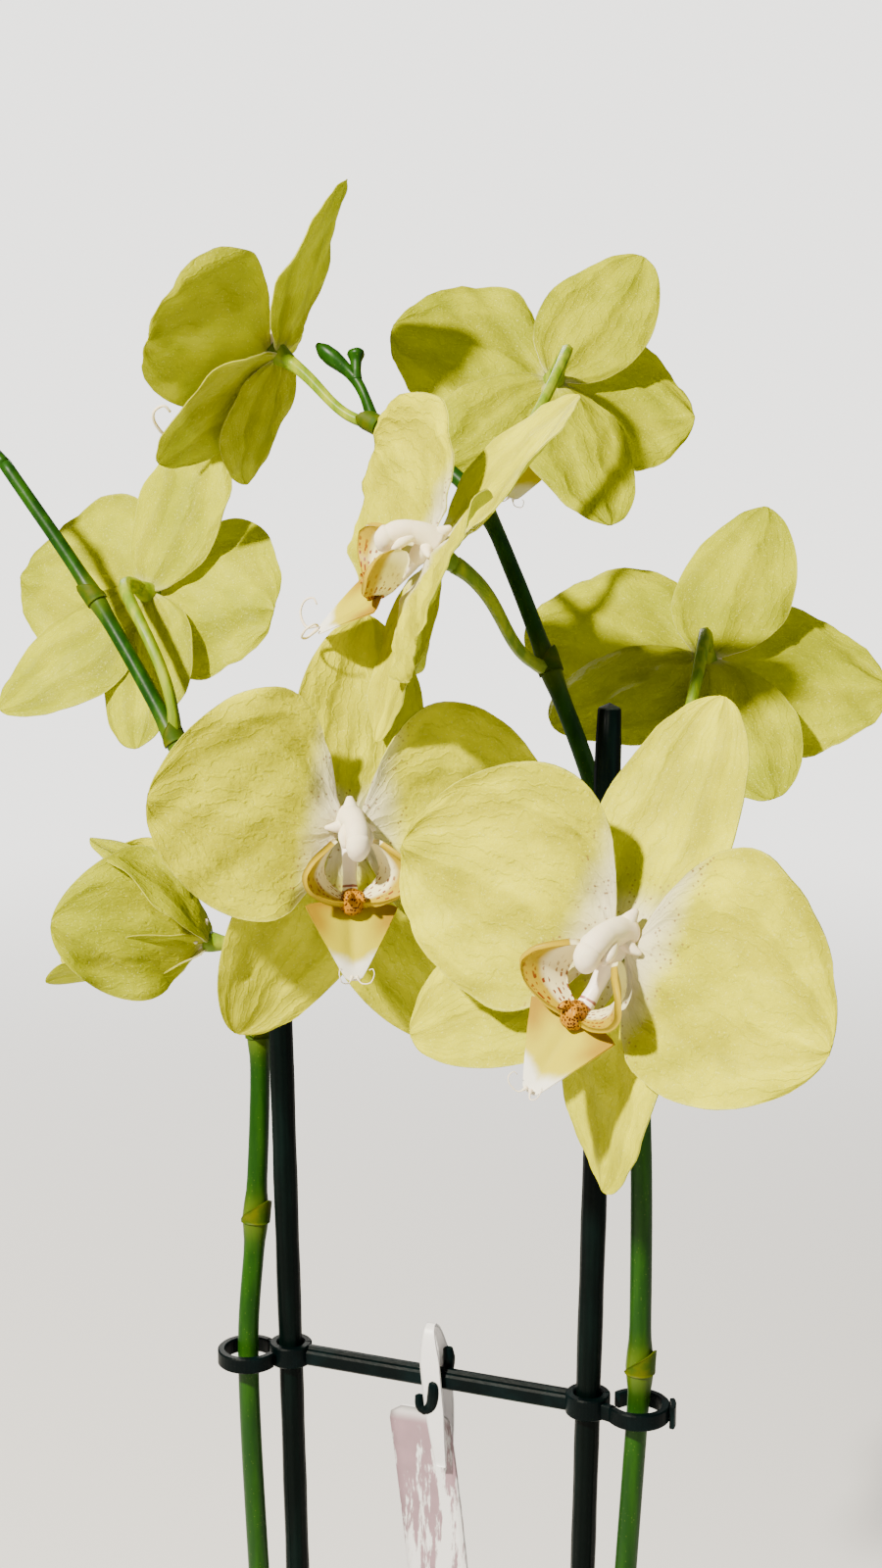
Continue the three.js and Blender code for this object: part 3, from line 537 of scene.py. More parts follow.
# ---- tepals
BLADE = {"widest": 0.8, "fullness": 0.7, "claw": 0.3, "lean": 0, "arch": 8, "cup": 8, "twist": 0, "bow": 0,
    "ruffle": 0.0, "crease": 0.0, "crumple": 0.0, "phase": 0.0, "outline": None}
SEPAL = {"length": 49, "width": 31, "thick": 0.8, "widest": 0.85, "fullness": 0.54, "claw": 0.45,
    "arch": 8, "ruffle": 0.8, "crease": 0.8, "crumple": 0.4}
PETAL = {"length": 45, "width": 52, "thick": 0.8, "widest": 0.78, "fullness": 0.53, "claw": 0.85,
    "arch": 10, "ruffle": 1.5, "crease": 0.9, "crumple": 0.7}
LIP_TOP = {"length": 18, "width": 20, "thick": 0.9, "lean": 25, "arch": 8, "cup": 16, "crease": 0.7,
    "outline": [(0, 1.4), (0.02, 5.0), (0.05, 8.6), (0.09, 10.5), (0.14, 10.1), (0.4, 7.7), (0.7, 4.7),
        (0.88, 2.9), (0.97, 1.9), (1, 1.0)]}


def half_width(b, t):
    """Half of a blade's width at the share t of its length."""
    if b["outline"]:
        at, half = zip(*b["outline"])
        return np.interp(t, at, half)
    outline = np.sin(math.pi * np.clip(t, 0, 1) ** b["widest"]).clip(0) ** b["fullness"]
    return np.maximum(b["width"] / 2 * outline * (1 - b["claw"] * np.exp(-t / 0.1)), b["width"] * 0.03)


def grid_marks(t, s):
    """For both faces of a sheet: the share of its length and of its half width at each point."""
    return {"along": np.tile((t + 0 * s).ravel(), 2), "across": np.tile((s + 0 * t).ravel(), 2)}


def square_to(middle):
    """The unit normals of a grid of points."""
    return unit(np.cross(np.gradient(middle, axis=1), np.gradient(middle, axis=0)))


def blade(shape, rows=36, columns=29):
    """A thin petal or leaf that starts at the origin and runs along +Y with its face toward +Z.

    Its midrib is an arc that starts at `lean` and bends back by `arch`; its section is an arc whose
    edges rise by `cup`, and it turns by `twist` toward the tip. `ruffle` waves its margin and
    `crease` sinks its midrib, both in millimetres.
    """
    b = {**BLADE, **shape}
    t = (0.5 - 0.5 * np.cos(math.pi * np.linspace(0, 1, rows)))[:, None]
    s = np.sin(math.pi / 2 * np.linspace(-1, 1, columns))[None, :]
    arch = math.radians(b["arch"]) or 1e-3
    lean = math.radians(b["lean"])
    slope = lean - arch * t
    y = b["length"] * (math.sin(lean) - np.sin(slope)) / arch
    z = b["length"] * (np.cos(slope) - math.cos(lean)) / arch
    half = half_width(b, t)
    cup = math.radians(b["cup"]) or 1e-3
    flat = half * np.sin(cup * s) / cup
    rise = half * (1 - np.cos(cup * s)) / cup
    rise = rise + b["ruffle"] * np.abs(s) ** 3 * np.sin(b["phase"] + 11 * t + 2.5 * s) * np.sin(math.pi * t)
    rise = rise - b["crease"] * np.exp(-(s * half / 1.6) ** 2) * np.sin(math.pi * np.clip(t * 1.1, 0, 1))
    rise = rise + b["crumple"] * (np.sin(0.42 * flat + b["phase"] + 5 * t) * np.cos(0.34 * y - b["phase"])
        + 0.6 * np.sin(0.9 * flat - 2 * b["phase"]) * np.sin(0.55 * y + b["phase"]))
    turn = math.radians(b["twist"]) * t
    x = flat * np.cos(turn) - rise * np.sin(turn) + b["bow"] * np.sin(math.pi * t)
    lift = flat * np.sin(turn) + rise * np.cos(turn)
    middle = np.stack([x, y - lift * np.sin(slope), z + lift * np.cos(slope)], -1)
    thin = b["thick"] / 2 * (0.4 + 0.6 * (1 - np.abs(s) ** 4)) * (1 - 0.5 * t ** 4)
    normal = square_to(middle) * thin[..., None]
    marks = {**grid_marks(t, s), "front": np.repeat([1.0, 0.0], middle.size // 3)}
    return *shell(middle + normal, middle - normal), marks


def moved(points, *matrices):
    """The points after each matrix in turn."""
    for matrix in matrices:
        points = np.asarray(points) @ np.array(matrix.to_3x3()).T + np.array(matrix.translation)
    return points


def turn_about(axis, degrees):
    return Matrix.Rotation(math.radians(degrees), 4, axis)


def shift(x, y, z):
    return Matrix.Translation((x, y, z))


# Each flower: the place of its middle, the way it faces (turn to the right and tilt up from the front), its
# roll clockwise as seen from its front and its size. Then its tepals, in the order of TEPALS: the angle each
# points at, the lean, twist and cup of its blade in degrees, and its length and width where not the usual.
TEPALS = ("upper", "left", "right", "low_left", "low_right")
MEASURES = ("angle", "lean", "twist", "cup", "length", "width")
FLOWERS = {
    1: dict(at=(-42, 62, 572), turn=-114, tilt=32, roll=-4, size=0.97, curl=2.3,
        tepals=[(92, 14, -17, 6, 48), (180, 25, 12, 20), (-12, 22, -10, 20, 41, 46),
        (250, -2, 0, 10, 39), (297, 12, -10, -15, 43)]),
    2: dict(at=(31, 92, 563), turn=196, tilt=-37, roll=-26, size=1.0,
        tepals=[(104, -3, 11, -6, 51), (168, 5, 6, 14, 39), (0, 6, 0, 2, 44), (240, -2, 5, 8, 51),
        (296, 0, 0, 10, 50, 29)]),
    3: dict(at=(-1, -14, 525), turn=-70, tilt=30, roll=28, size=0.95, curl=1.8,
        tepals=[(102, -4, 0, 20), (181, 24, 24, 18, 42), (-6, 12, -24, -8, 40), (236, -24, 0, 10),
        (298, -6, 0, 10, 46)]),
    4: dict(at=(68, 43, 493), turn=172, tilt=-46, roll=-14, size=1.0,
        tepals=[(93, -2, 8, 10, 50), (168, 14, 5, 18), (1, 4, 0, 6, 46), (236, 0, 0, 12),
        (307, -6, 0, 8, 47)]),
    5: dict(at=(-75, 75, 508), turn=148, tilt=-24, roll=-8, size=1.0,
        tepals=[(92, 0, 0, 8, 50), (174, 10, 4, 20, 37, 47), (-3, 4, 0, 8, 46, 50),
        (246, 0, -6, 12, 45), (301, -8, -5, 16, 50)]),
    6: dict(at=(-19, -24, 463.5), turn=14, tilt=9, roll=4, size=1.0,
        tepals=[(83, -12, 0, 18, 52), (173, 14, 0, 6), (3, 8, 0, 16, 47), (246, -12, 12, 18, 54),
        (298, 0, 0, 10, 53)]),
    7: dict(at=(37, -74, 450), turn=-34, tilt=14, roll=18, size=1.02,
        tepals=[(100, -10, 0, 16, 54), (181, 20, 12, 16, 48), (2, 4, -6, 10, 46),
        (226, 4, -8, 14, 54), (284, -8, -38, 10, 51)],
        more=dict(low_right=dict(fullness=0.44, widest=0.92))),
    8: dict(at=(-57, 18, 428), turn=-96, tilt=6, roll=0, size=0.85, lip_size=0.6, lip_lift=24,
        tepals=[(90, 22, 0, 26, 49, 34), (168, 52, 0, 22, 45, 46), (14, 50, 0, 24, 45, 46),
        (236, 66, 0, 22, 49, 28), (304, 64, 0, 22, 49, 28)],
        more=dict(upper=dict(arch=-68), left=dict(arch=-22, ruffle=2.6),
        right=dict(arch=-26, crease=2.2, ruffle=3), low_left=dict(arch=-12),
        low_right=dict(arch=-8))),
}


def flower_matrix(pose):
    return (shift(*pose["at"]) @ turn_about("Z", pose["turn"]) @ turn_about("X", 90 - pose["tilt"])
        @ turn_about("Z", -pose["roll"]) @ Matrix.Scale(pose["size"], 4))


def tepal(shape, start, height):
    """A tepal at its angle in the flower's plane, counterclockwise from the flower's right."""
    points, faces, marks = blade(shape)
    points = moved(points, shift(0, start, 0), turn_about("Z", shape["angle"] - 90), shift(0, 0, height))
    return points, faces, marks


def posed(basis, pose, key):
    """A tepal's blade: the basis with the flower's own measures."""
    measures = dict(zip(MEASURES, pose["tepals"][TEPALS.index(key)]))
    return {**basis, **measures, **pose.get("more", {}).get(key, {})}


def sepals(pose, seed):
    """A flower's three sepals as one piece."""
    parts = []
    for i, key in enumerate(("upper", "low_left", "low_right")):
        shape = posed({**SEPAL, "phase": seed * 1.7 + i * 2.1}, pose, key)
        parts.append(tepal(shape, 0, -3))
    points, faces = merged(*[part[:2] for part in parts])
    return points, faces, {key: np.concatenate([part[2][key] for part in parts]) for key in parts[0][2]}


def petal(pose, side, seed):
    basis = {**PETAL, "bow": -3 * side, "phase": seed * 1.3 + side}
    return tepal(posed(basis, pose, "left" if side < 0 else "right"), 1.6, -0.6)


def receptacle():
    """The knob at the flower's back, which narrows into its stalk."""
    return tube([(0, 0, -0.8), (0, 0, -3.5), (0, 0, -6.4), (0, -0.4, -8.2)], 9,
        [0, 0.3, 0.6, 1], [3.2, 3.0, 2.4, 1.7], 14, ridges=6, ridge_depth=0.05)


def column():
    """The white column over the lip: a thick stalk that bends forward, with a blunt cap and two shoulders."""
    stalk = tube([(0, 2.8, 0.2), (0, 2.8, 4.2), (0, 1.7, 8.0), (0, -0.8, 10.8), (0, -2.4, 11.4)], 18,
        [0, 0.2, 0.55, 0.8, 1], [4.0, 3.4, 2.8, 3.1, 2.9], 18)
    cap = tube([(0, -0.8, 11.6), (0, -3.2, 12.0), (0, -5.2, 11.0), (0, -6.3, 9.4)], 12,
        [0, 0.15, 0.5, 0.8, 1], [1.8, 3.0, 3.1, 2.3, 1.0], 18)
    parts = [stalk, cap]
    for side in (-1, 1):
        parts.append(tube([(side * 1.6, 1.8, 6.6), (side * 3.2, -1.2, 8.8), (side * 2.8, -4.0, 9.4)], 10,
            [0, 0.6, 1], [1.2, 1.4, 0.7], 12))
        parts.append(tube([(side * 1.0, 1.4, 2.0), (side * 4.0, 0.8, 2.0), (side * 6.4, 0.6, 1.4)], 10,
            [0, 0.5, 1], [2.4, 1.5, 0.5], 14))
    for points, thick in (([(0, 2, 1.4), (0, 5.4, 0.6), (0, 8.4, -0.8)], [3.0, 2.2, 0.8]),
            ([(0, 2, 1.2), (0, -2.5, 1.6), (0, -5.6, 1.8)], [3.6, 3.0, 1.9])):
        parts.append(tube(points, 10, [0, 0.5, 1], thick, 14))
    return merged(*parts)


def lip_claw():
    """The narrow neck that carries the lip."""
    sides = 14
    route, share = smooth_route([(0, -3.6, 1.6), (0, -9, 1.9), (0, -13.5, 3.0), (0, -15.6, 4.0)], 14)
    points, faces = swept(route, np.interp(share, [0, 0.5, 1], [1.9, 1.5, 2.0]), sides)
    return points, faces, ring_marks("along", share, sides, (0, 1))


def callus():
    """The warty crest where the lip's three lobes meet: two horns over a rounded pad."""
    parts = [tube([(0, -13.2, 4.6), (0, -15.6, 5.6), (0, -18.2, 4.6)], 12,
        [0, 0.4, 0.8, 1], [1.6, 2.8, 2.3, 1.0], 16, ridges=7, ridge_depth=0.06)]
    for side in (-1, 1):
        parts.append(tube([(side * 0.9, -14.4, 6.4), (side * 1.3, -14.0, 8.2), (side * 2.0, -15.2, 9.4)], 9,
            [0, 0.6, 1], [1.3, 0.9, 0.35], 10))
    return merged(*parts)


def side_lobe(side):
    """A wing of the lip, which stands fore and aft: narrow at its foot, broad and round at its end."""
    rows, columns = 22, 15
    route, share = smooth_route([(side * 1.2, -15.6, 0), (side * 4.2, -14.6, 0), (side * 7.4, -12.2, 0),
        (side * 8.6, -8.8, 0), (side * 7.4, -5.2, 0), (side * 5.2, -2.4, 0)], rows)
    half = np.interp(share, [0, 0.12, 0.4, 0.66, 0.84, 0.95, 1], [2.0, 3.0, 4.4, 5.6, 5.2, 3.6, 1.0])
    centre = np.interp(share, [0, 0.3, 0.7, 1], [5.2, 6.6, 8.4, 8.8])
    flare = unit([0.5 * side, -0.3, 0.8])
    s = np.linspace(-1, 1, columns)[None, :]
    upward = centre[:, None, None] * np.array([0, 0, 1.0])
    middle = route[:, None, :] + upward + s[..., None] * half[:, None, None] * flare
    middle[..., 0] += side * 0.7 * s ** 2 * np.sin(math.pi * share)[:, None]
    normal = square_to(middle) * 0.65
    return *shell(middle + normal, middle - normal), grid_marks(share[:, None], s)


def lip_middle():
    points, faces, marks = blade(LIP_TOP, 26, 25)
    return moved(points, turn_about("Z", 180), shift(0, -15.6, 3.4)), faces, marks


LIP_TIP = np.array([0, -31.4, 10.8])


def tendrils(turns, curl):
    """Two fine threads that curl back from the tip of the lip, longer and thicker where `curl` is larger."""
    thicker = curl ** 1.5
    parts = []
    for side in (-1, 1):
        x = side * 1.2
        away = np.array([(x * 0.4, 0, 0), (x * 1.2, -1.4, 0.8), (x * 2.6, -1.0 + turns, 2.0),
            (x * 3.2, 0.6, 2.4), (x * 3.0, 1.8, 1.8), (x * 2.5, 1.5, 1.0)])
        parts.append(tube(LIP_TIP + away * curl, 26, [0, 0.15, 1], [0.5, 0.15 * thicker, 0.1 * thicker], 6))
    return merged(*parts)


def flower(number, pose):
    whole = flower_matrix(pose)
    node = f"flower_{number}"

    def put(name, part, material, slot, replaced, *first):
        points, faces = part[:2]
        marks = part[2] if len(part) > 2 else {key: np.zeros(len(points)) for key in ("along", "across")}
        return new_object(name, moved(points, *first, whole), faces, material, slot, replaced, marks)

    put(f"{node}_sepal_sheets", sepals(pose, number), PETAL_SKIN, "petal", [f"{node}_sepals"])
    put(f"{node}_knob", receptacle(), PEDICEL, "stem", [])
    for side, key in ((-1, "left"), (1, "right")):
        cad = f"{node}_petal_{key}"
        put(cad + "_sheet", petal(pose, side, number), PETAL_SKIN, "petal", [cad])
    put(f"{node}_column_body", column(), COLUMN, "column", [f"{node}_column"],
        Matrix.Scale(0.88 * pose.get("lip_size", 1.0) ** 0.3, 4))
    lip_place = [turn_about("X", -pose.get("lip_lift", 0)), Matrix.Scale(pose.get("lip_size", 1.0), 4)]
    threads = tendrils(0.5 * math.sin(number), pose.get("curl", 1.0))
    for name, part, material in (("claw", lip_claw(), NECK), ("callus", callus(), CALLUS),
            ("middle", lip_middle(), LIP_MIDDLE), ("left_wing", side_lobe(-1), LIP_SIDE),
            ("right_wing", side_lobe(1), LIP_SIDE), ("tendrils", threads, COLUMN)):
        put(f"{node}_lip_{name}", part, material, "lip", [f"{node}_lip"], *lip_place)


for number, pose in FLOWERS.items():
    flower(number, pose)


# ---- spikes, stalks and bracts
SPIKE_AT_CLIP = {"left": (-47, 13), "right": (48, -17)}
CLIP_Z = 323
STEM_SIDES = 20
STALK_SIDES = 18
STALK_RINGS = 34
BRACT_LENGTH = 6.0
BACK_Z = -7.1  # where a stalk meets its flower's back, in the flower's own frame

SPIKES = {
    "left_spike": dict(
        route=[(-10, 5, 112), (-25, 3, 150), (-36, 3, 184), (-42, 6, 220), (-45, 10, 268), (-47, 13, 323),
        (-45, 17, 357), (-44, 22, 404), (-50, 28, 441), (-66, 40, 475), (-88, 56, 510), (-112, 68, 543)],
        joints={3: 1, 6: 1, 7: -1, 9: 1, 10: -1},
        bears=[(8, 8, (0.5, -0.6, 0.3)), (6, 7, (-0.4, -0.9, 0.3)), (5, 9, (0.15, -0.1, 1))],
        tips=[[(-112, 68, 543), (-122, 73, 553), (-131, 75, 556)], [(-122, 73, 553), (-124, 74, 561)]]),
    "right_spike": dict(
        route=[(9, -7, 112), (24, -20, 150), (35, -24, 185), (42, -23, 222), (45, -20, 275), (48, -17, 323),
        (48.3, -17, 333), (48, -15, 385), (46, -10, 425), (41, -4, 455), (35, 0, 475), (27, 7, 496),
        (19, 17, 517), (11, 28, 534), (-1, 38, 545), (-15, 48, 553)],
        joints={3: -1, 6: 1, 8: -1, 11: 1, 13: 1, 15: -1},
        bears=[(7, 8, (0.3, -0.5, 0.8)), (4, 9, (0.8, 0.4, 0.4)), (3, 11, (-0.6, -0.4, 0.2)),
        (2, 13, (0.5, 0.5, 0.6)), (1, 15, (-0.8, 0.3, 0.1))],
        tips=[[(-15, 48, 553), (-20, 55, 564), (-30, 60, 573)], [(-20, 55, 564), (-20, 58, 572)]]),
}


def bract(point, tangent, away, radius):
    """A small pointed sheath that wraps a joint and leans off toward its tip."""
    tangent = unit(tangent)
    away = np.asarray(away, float)
    away = unit(away - tangent * away.dot(tangent))
    side = np.cross(tangent, away)
    t = np.linspace(0, 1, 10)[:, None]
    s = np.linspace(-1, 1, 15)[None, :]
    angle = s * (math.radians(150) * (1 - t) ** 0.75 + 0.04)
    spread = radius * (1.06 + 0.04 * t + 0.06 * t * t)

    def layer(extra):
        r = spread + extra
        return (np.asarray(point, float) + (t * BRACT_LENGTH - 1.5)[..., None] * tangent + 0 * s[..., None]
            + (r * np.cos(angle))[..., None] * away + (r * np.sin(angle))[..., None] * side)

    return shell(layer(0.4), layer(0.02))


def bezier(a, b, c, d, count):
    t = np.linspace(0, 1, count)[:, None]
    return (1 - t) ** 3 * a + 3 * t * (1 - t) ** 2 * b + 3 * t * t * (1 - t) * c + t ** 3 * d


def spike(name, plan):
    points = np.array(plan["route"], float)
    route, share = smooth_route(points, 150)
    rings = [int(np.argmin(np.linalg.norm(route - points[i], axis=1))) for i in plan["joints"]]
    radii = np.interp(share, [0, 0.05, 0.55, 1], [3.1, 2.75, 2.6, 1.75])
    swell = np.zeros(len(route))
    for at in rings:
        swell += np.exp(-((np.arange(len(route)) - at) / 1.5) ** 2)
    radii = radii * (1 + 0.3 * swell)
    body, faces = swept(route, radii, STEM_SIDES)
    marks = ring_marks("swell", np.clip(swell, 0, 1), STEM_SIDES)
    new_object(name + "_stem", body, faces, STEM, "stem", [name], marks)
    tangents = carried_frames(route)[0]
    sheaths = [bract(route[at], tangents[at], (side * 0.9, -0.5, 0.2), radii[at] * 0.92)
        for at, side in zip(rings, plan["joints"].values())]
    new_object(name + "_bracts", *merged(*sheaths), BRACT, "stem", [name])
    for borne, joint, out in plan["bears"]:
        whole = flower_matrix(FLOWERS[borne])
        back = np.array(whole @ Vector((0, 0, BACK_Z)))
        away = unit(np.array(whole @ Vector((0, 0, BACK_Z - 1))) - back)
        start = points[joint]
        reach = np.linalg.norm(back - start) * 0.4
        line = bezier(start, start + unit(out) * reach, back + away * reach, back, STALK_RINGS)
        at = np.linspace(0, 1, STALK_RINGS)
        stalk_radii = np.interp(at, [0, 0.12, 0.5, 0.9, 1], [2.0, 1.4, 1.4, 1.65, 1.95])
        stalk, stalk_faces = swept(line, stalk_radii, STALK_SIDES, ridges=6, ridge_depth=0.07)
        tint = ring_marks("swell", 1 - np.clip(at * 5, 0, 1), STALK_SIDES)
        new_object(f"{name}_stalk_{borne}", stalk, stalk_faces, PEDICEL, "stem", [name], tint)
    buds = []
    for tip in plan["tips"]:
        buds.append(tube(tip, 22, [0, 0.3, 0.6, 0.8, 0.92, 1], [1.7, 1.3, 1.5, 2.3, 2.0, 0.7], 14,
            ridges=3, ridge_depth=0.06))
    new_object(name + "_tips", *merged(*buds), STEM, "stem", [name])


for name, plan in SPIKES.items():
    spike(name, plan)


# ---- stakes
STAKE_RADIUS = 3
STAKE_FOOT = {"left": (-31, 14, 14), "right": (31, -14, 14)}
SPLAY = math.radians(1)
STAKE_LENGTH = 476
STAKE_RINGS = 60

for side, (x, y, z) in STAKE_FOOT.items():
    lean = math.copysign(math.sin(SPLAY), x)
    foot = np.array([x, y, z], float)
    axis = np.array([lean, 0, math.cos(SPLAY)])
    line = foot + np.linspace(0.6, STAKE_LENGTH - 0.5, STAKE_RINGS)[:, None] * axis
    wobble = STAKE_RADIUS * (0.965 + 0.02 * np.sin(np.arange(STAKE_RINGS) * 1.9))
    wobble[[0, -1]] = STAKE_RADIUS * 0.86
    rod = swept(line, wobble, 36, ridges=12, ridge_depth=0.03)
    new_object(f"{side}_stake_rod", *rod, STAKE, "stake", [f"{side}_stake"])
    top = foot + (STAKE_LENGTH - np.array([[1.6], [0.15], [0.05]])) * axis
    cut_end = swept(top, [2.4, 2.4, 2.1], 24, ridges=5, ridge_depth=0.04)
    new_object(f"{side}_stake_cut_end", *cut_end, STAKE_END, "stake")


# ---- clip
GRIP = STAKE_RADIUS + 0.35
LOOP = 5.7
WALL = 2.0
LOOP_MIDDLE = LOOP + WALL / 2
grip_x = 31 + math.tan(SPLAY) * (CLIP_Z - 14)
clip_turn = math.atan2(-14, grip_x)


def arc(centre, radius, start, end, count):
    turns = np.radians(np.linspace(start, end, count))
    return [(centre[0] + radius * math.cos(a), centre[1] + radius * math.sin(a)) for a in turns]


def strip(path, width, height, middle_z=CLIP_Z, step=0.0):
    """A flat-sided bar swept along a level path, with chamfered edges and a step along its top."""
    path = np.asarray(path, float)
    along = unit(np.gradient(path, axis=0))
    out = np.stack([along[:, 1], -along[:, 0]], 1)
    w, h, c = width / 2, height / 2, min(width, height) * 0.16
    if step:
        top = [(w, h - c - step * 1.4), (w - c * 0.6, h - step * 1.4), (w - step, h - step * 1.2),
            (w - step, h - c), (w - step - c, h)]
    else:
        top = [(w, h - c), (w - c, h)]
    right = [(w - c, -h), (w, -h + c)] + top
    left = [(-u, v) for u, v in right[::-1]]
    section = left[-1:] + right + left[:-1]
    points = [(p[0] + u * o[0], p[1] + u * o[1], middle_z + v) for p, o in zip(path, out) for u, v in section]
    n = len(section)
    faces = grid_faces(len(path), n, wrap=True)
    faces.append(list(range(n))[::-1])
    faces.append(list(range(len(path) * n - n, len(path) * n)))
    return points, faces


def on_bar(u, v=0.0):
    """A place along the clip's bar: u from its middle, v square to it."""
    c, s = math.cos(clip_turn), math.sin(clip_turn)
    return (u * c - v * s, u * s + v * c)


bar_end = math.hypot(grip_x, 14) - GRIP - WALL * 0.4
clip_parts = [strip([on_bar(u) for u in np.linspace(-bar_end, bar_end, 12)], 3.6, 4.9, step=0.7)]
for side in (-1, 1):
    stake_at = (side * grip_x, -side * 14)
    clip_parts.append(strip(arc(stake_at, GRIP + WALL / 2, 0, 355, 40), WALL, 5.2))
    spike_at = SPIKE_AT_CLIP["left" if side < 0 else "right"]
    gap_at = math.degrees(math.atan2(stake_at[1] - spike_at[1], stake_at[0] - spike_at[0]))
    loop = arc(spike_at, LOOP_MIDDLE, gap_at + 34, gap_at + 326, 34)
    clip_parts.append(strip(loop, WALL * 0.95, 3.9, CLIP_Z - 0.4))
    arm = arc(stake_at, GRIP + 0.8, gap_at + 130, gap_at + 142, 2)
    arm += arc(spike_at, LOOP_MIDDLE, gap_at + 34, gap_at + 40, 2)
    clip_parts.append(strip(arm, WALL * 0.95, 3.9, CLIP_Z - 0.4))
catch = arc(SPIKE_AT_CLIP["right"], LOOP + WALL * 1.1, 12, -26, 6)
clip_parts.append(strip([(x + 0.6, y) for x, y in catch], 1.2, 5.4, CLIP_Z - 1.0))
hook = [(0.6, 0, 0), (0.9, -2.6, -0.6), (0.9, -3.1, -3.2), (0.2, -2.9, -6.2), (-1.4, -2.8, -7.6),
    (-2.8, -2.8, -6.8), (-3.2, -2.8, -4.4)]
post = [(2.4, 1.2, 0), (2.6, 2.3, 2.5), (2.6, 2.3, 5.0), (2.4, 2.3, 6.6)]
for points, radii in ((hook, [1.6, 1.7, 1.7, 1.7, 1.6, 1.4, 1.0]), (post, [1.5, 1.5, 1.6, 1.2])):
    clip_parts.append(tube([(*on_bar(u, v), CLIP_Z + w) for u, v, w in points], 20,
        np.linspace(0, 1, len(radii)), radii, 12))
new_object("stake_clip_body", *merged(*clip_parts), CLIP, "clip", ["stake_clip"], smooth=False)


# ---- hang tag
RIBBON_ROW = 9


def ribbon(route, across, width, thick):
    """A flat band of plastic along a route, whose width runs along `across`."""
    across = np.broadcast_to(across, route.shape)
    normal = unit(np.cross(np.gradient(route, axis=0), across))
    s = np.linspace(-1, 1, RIBBON_ROW)
    middle = route[:, None, :] + (s[None, :] * width[:, None] / 2)[..., None] * across[:, None, :]
    offset = normal[:, None, :] * thick / 2
    return shell(middle + offset, middle - offset)


def rightward(matrix):
    return unit(np.array(matrix.to_3x3() @ Vector((1, 0, 0))))


PLATE_LENGTH = 72
PLATE_WIDTHS = (10, 18)  # at the ends of its round corners, and between them
TAG_SHEET = 0.7
tag_place = shift(0.3, 0.3 * math.tan(clip_turn), CLIP_Z) @ turn_about("Z", math.degrees(clip_turn))

strap_loop = [(0, -2.9, -22), (0, -3.4, -14), (0, -3.5, -4), (0, -3.3, 5), (0, -2.2, 11), (0, 0, 13.3),
    (0, 2.2, 11), (0, 3.3, 5), (0, 3.4, -4), (0, 3.0, -14), (0, 1.2, -22)]
strap_route, strap_share = smooth_route(strap_loop, 60)
strap_width = np.interp(strap_share, [0, 0.2, 0.38, 0.5, 0.62, 0.8, 1], [2.6, 4.8, 5.0, 2.0, 5.0, 4.8, 2.6])
strap_route = moved(strap_route, turn_about("Y", -6), tag_place)
strap = ribbon(strap_route, rightward(tag_place), strap_width, TAG_SHEET)
new_object("hang_tag_strap", *strap, STRAP, "tag", ["hang_tag"])

plate_place = tag_place @ shift(0, 0, -9) @ turn_about("Z", -12) @ turn_about("Y", -7)
down = np.linspace(0, 1, 40)
plate_route = np.stack([-5.4 + 0 * down, 0.9 * np.sin(3.2 * down), -PLATE_LENGTH * down], 1)
corner = np.clip(1 - np.minimum(down, 1 - down) * PLATE_LENGTH / 4, 0, 1)
plate_width = np.interp(np.sqrt(1 - corner ** 2), [0, 1], PLATE_WIDTHS)
plate = ribbon(moved(plate_route, plate_place), rightward(plate_place), plate_width, TAG_SHEET)
new_object("hang_tag_plate", *plate, TAG, "tag", ["hang_tag"],
    {"along": np.tile(np.repeat(down, RIBBON_ROW), 2)})


# ---- crown, leaves and roots
CROWN_RINGS = 24
CROWN_SIDES = 24
crown_foot, crown_top = (corner[2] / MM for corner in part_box("crown"))
crown_route, crown_share = smooth_route([(0, 0, crown_foot + 0.5), (0.4, 0, 108), (0, 0.5, 118),
    (0, 0, crown_top - 0.5)], CROWN_RINGS)
crown_radii = np.interp(crown_share, [0, 0.15, 0.5, 0.85, 1], [7.6, 8.8, 8.4, 7.0, 4.0])
crown_radii = crown_radii * (1 + 0.04 * np.sin(np.arange(CROWN_RINGS) * 1.6))
crown_points, crown_faces = swept(crown_route, crown_radii, CROWN_SIDES, ridges=4, ridge_depth=0.05)
new_object("crown_stem", crown_points, crown_faces, LEAF, "stem", ["crown"],
    {"along": np.zeros(len(crown_points)), "across": np.ones(len(crown_points))})

LEAF_LENGTH = 165
LEAF_WIDTH = 66
LEAF_START = 11.9  # from the plant's axis
# heading in degrees, height of the foot, size, lean and arch of each leaf
LEAVES = [(-104, 103, 1.0, 40, 68), (78, 107, 0.96, 42, 62), (-92, 112, 0.86, 56, 58),
    (92, 117, 0.74, 60, 48), (-110, 122, 0.5, 74, 30)]
for index, (heading, height, size, lean, arch) in enumerate(LEAVES, 1):
    shape = dict(length=LEAF_LENGTH * size, width=LEAF_WIDTH * (0.4 + 0.6 * size), thick=2.4, widest=0.95,
        fullness=0.6, claw=0.55, lean=lean, arch=arch, cup=24, ruffle=1.4, crease=1.6,
        phase=index * 1.9)
    points, faces, marks = blade(shape, 44, 25)
    points = moved(points, shift(0, LEAF_START, 0), turn_about("Z", heading - 90), shift(0, 0, height))
    new_object(f"leaf_{index}_blade", points, faces, LEAF, "leaf", [f"leaf_{index}"], marks)

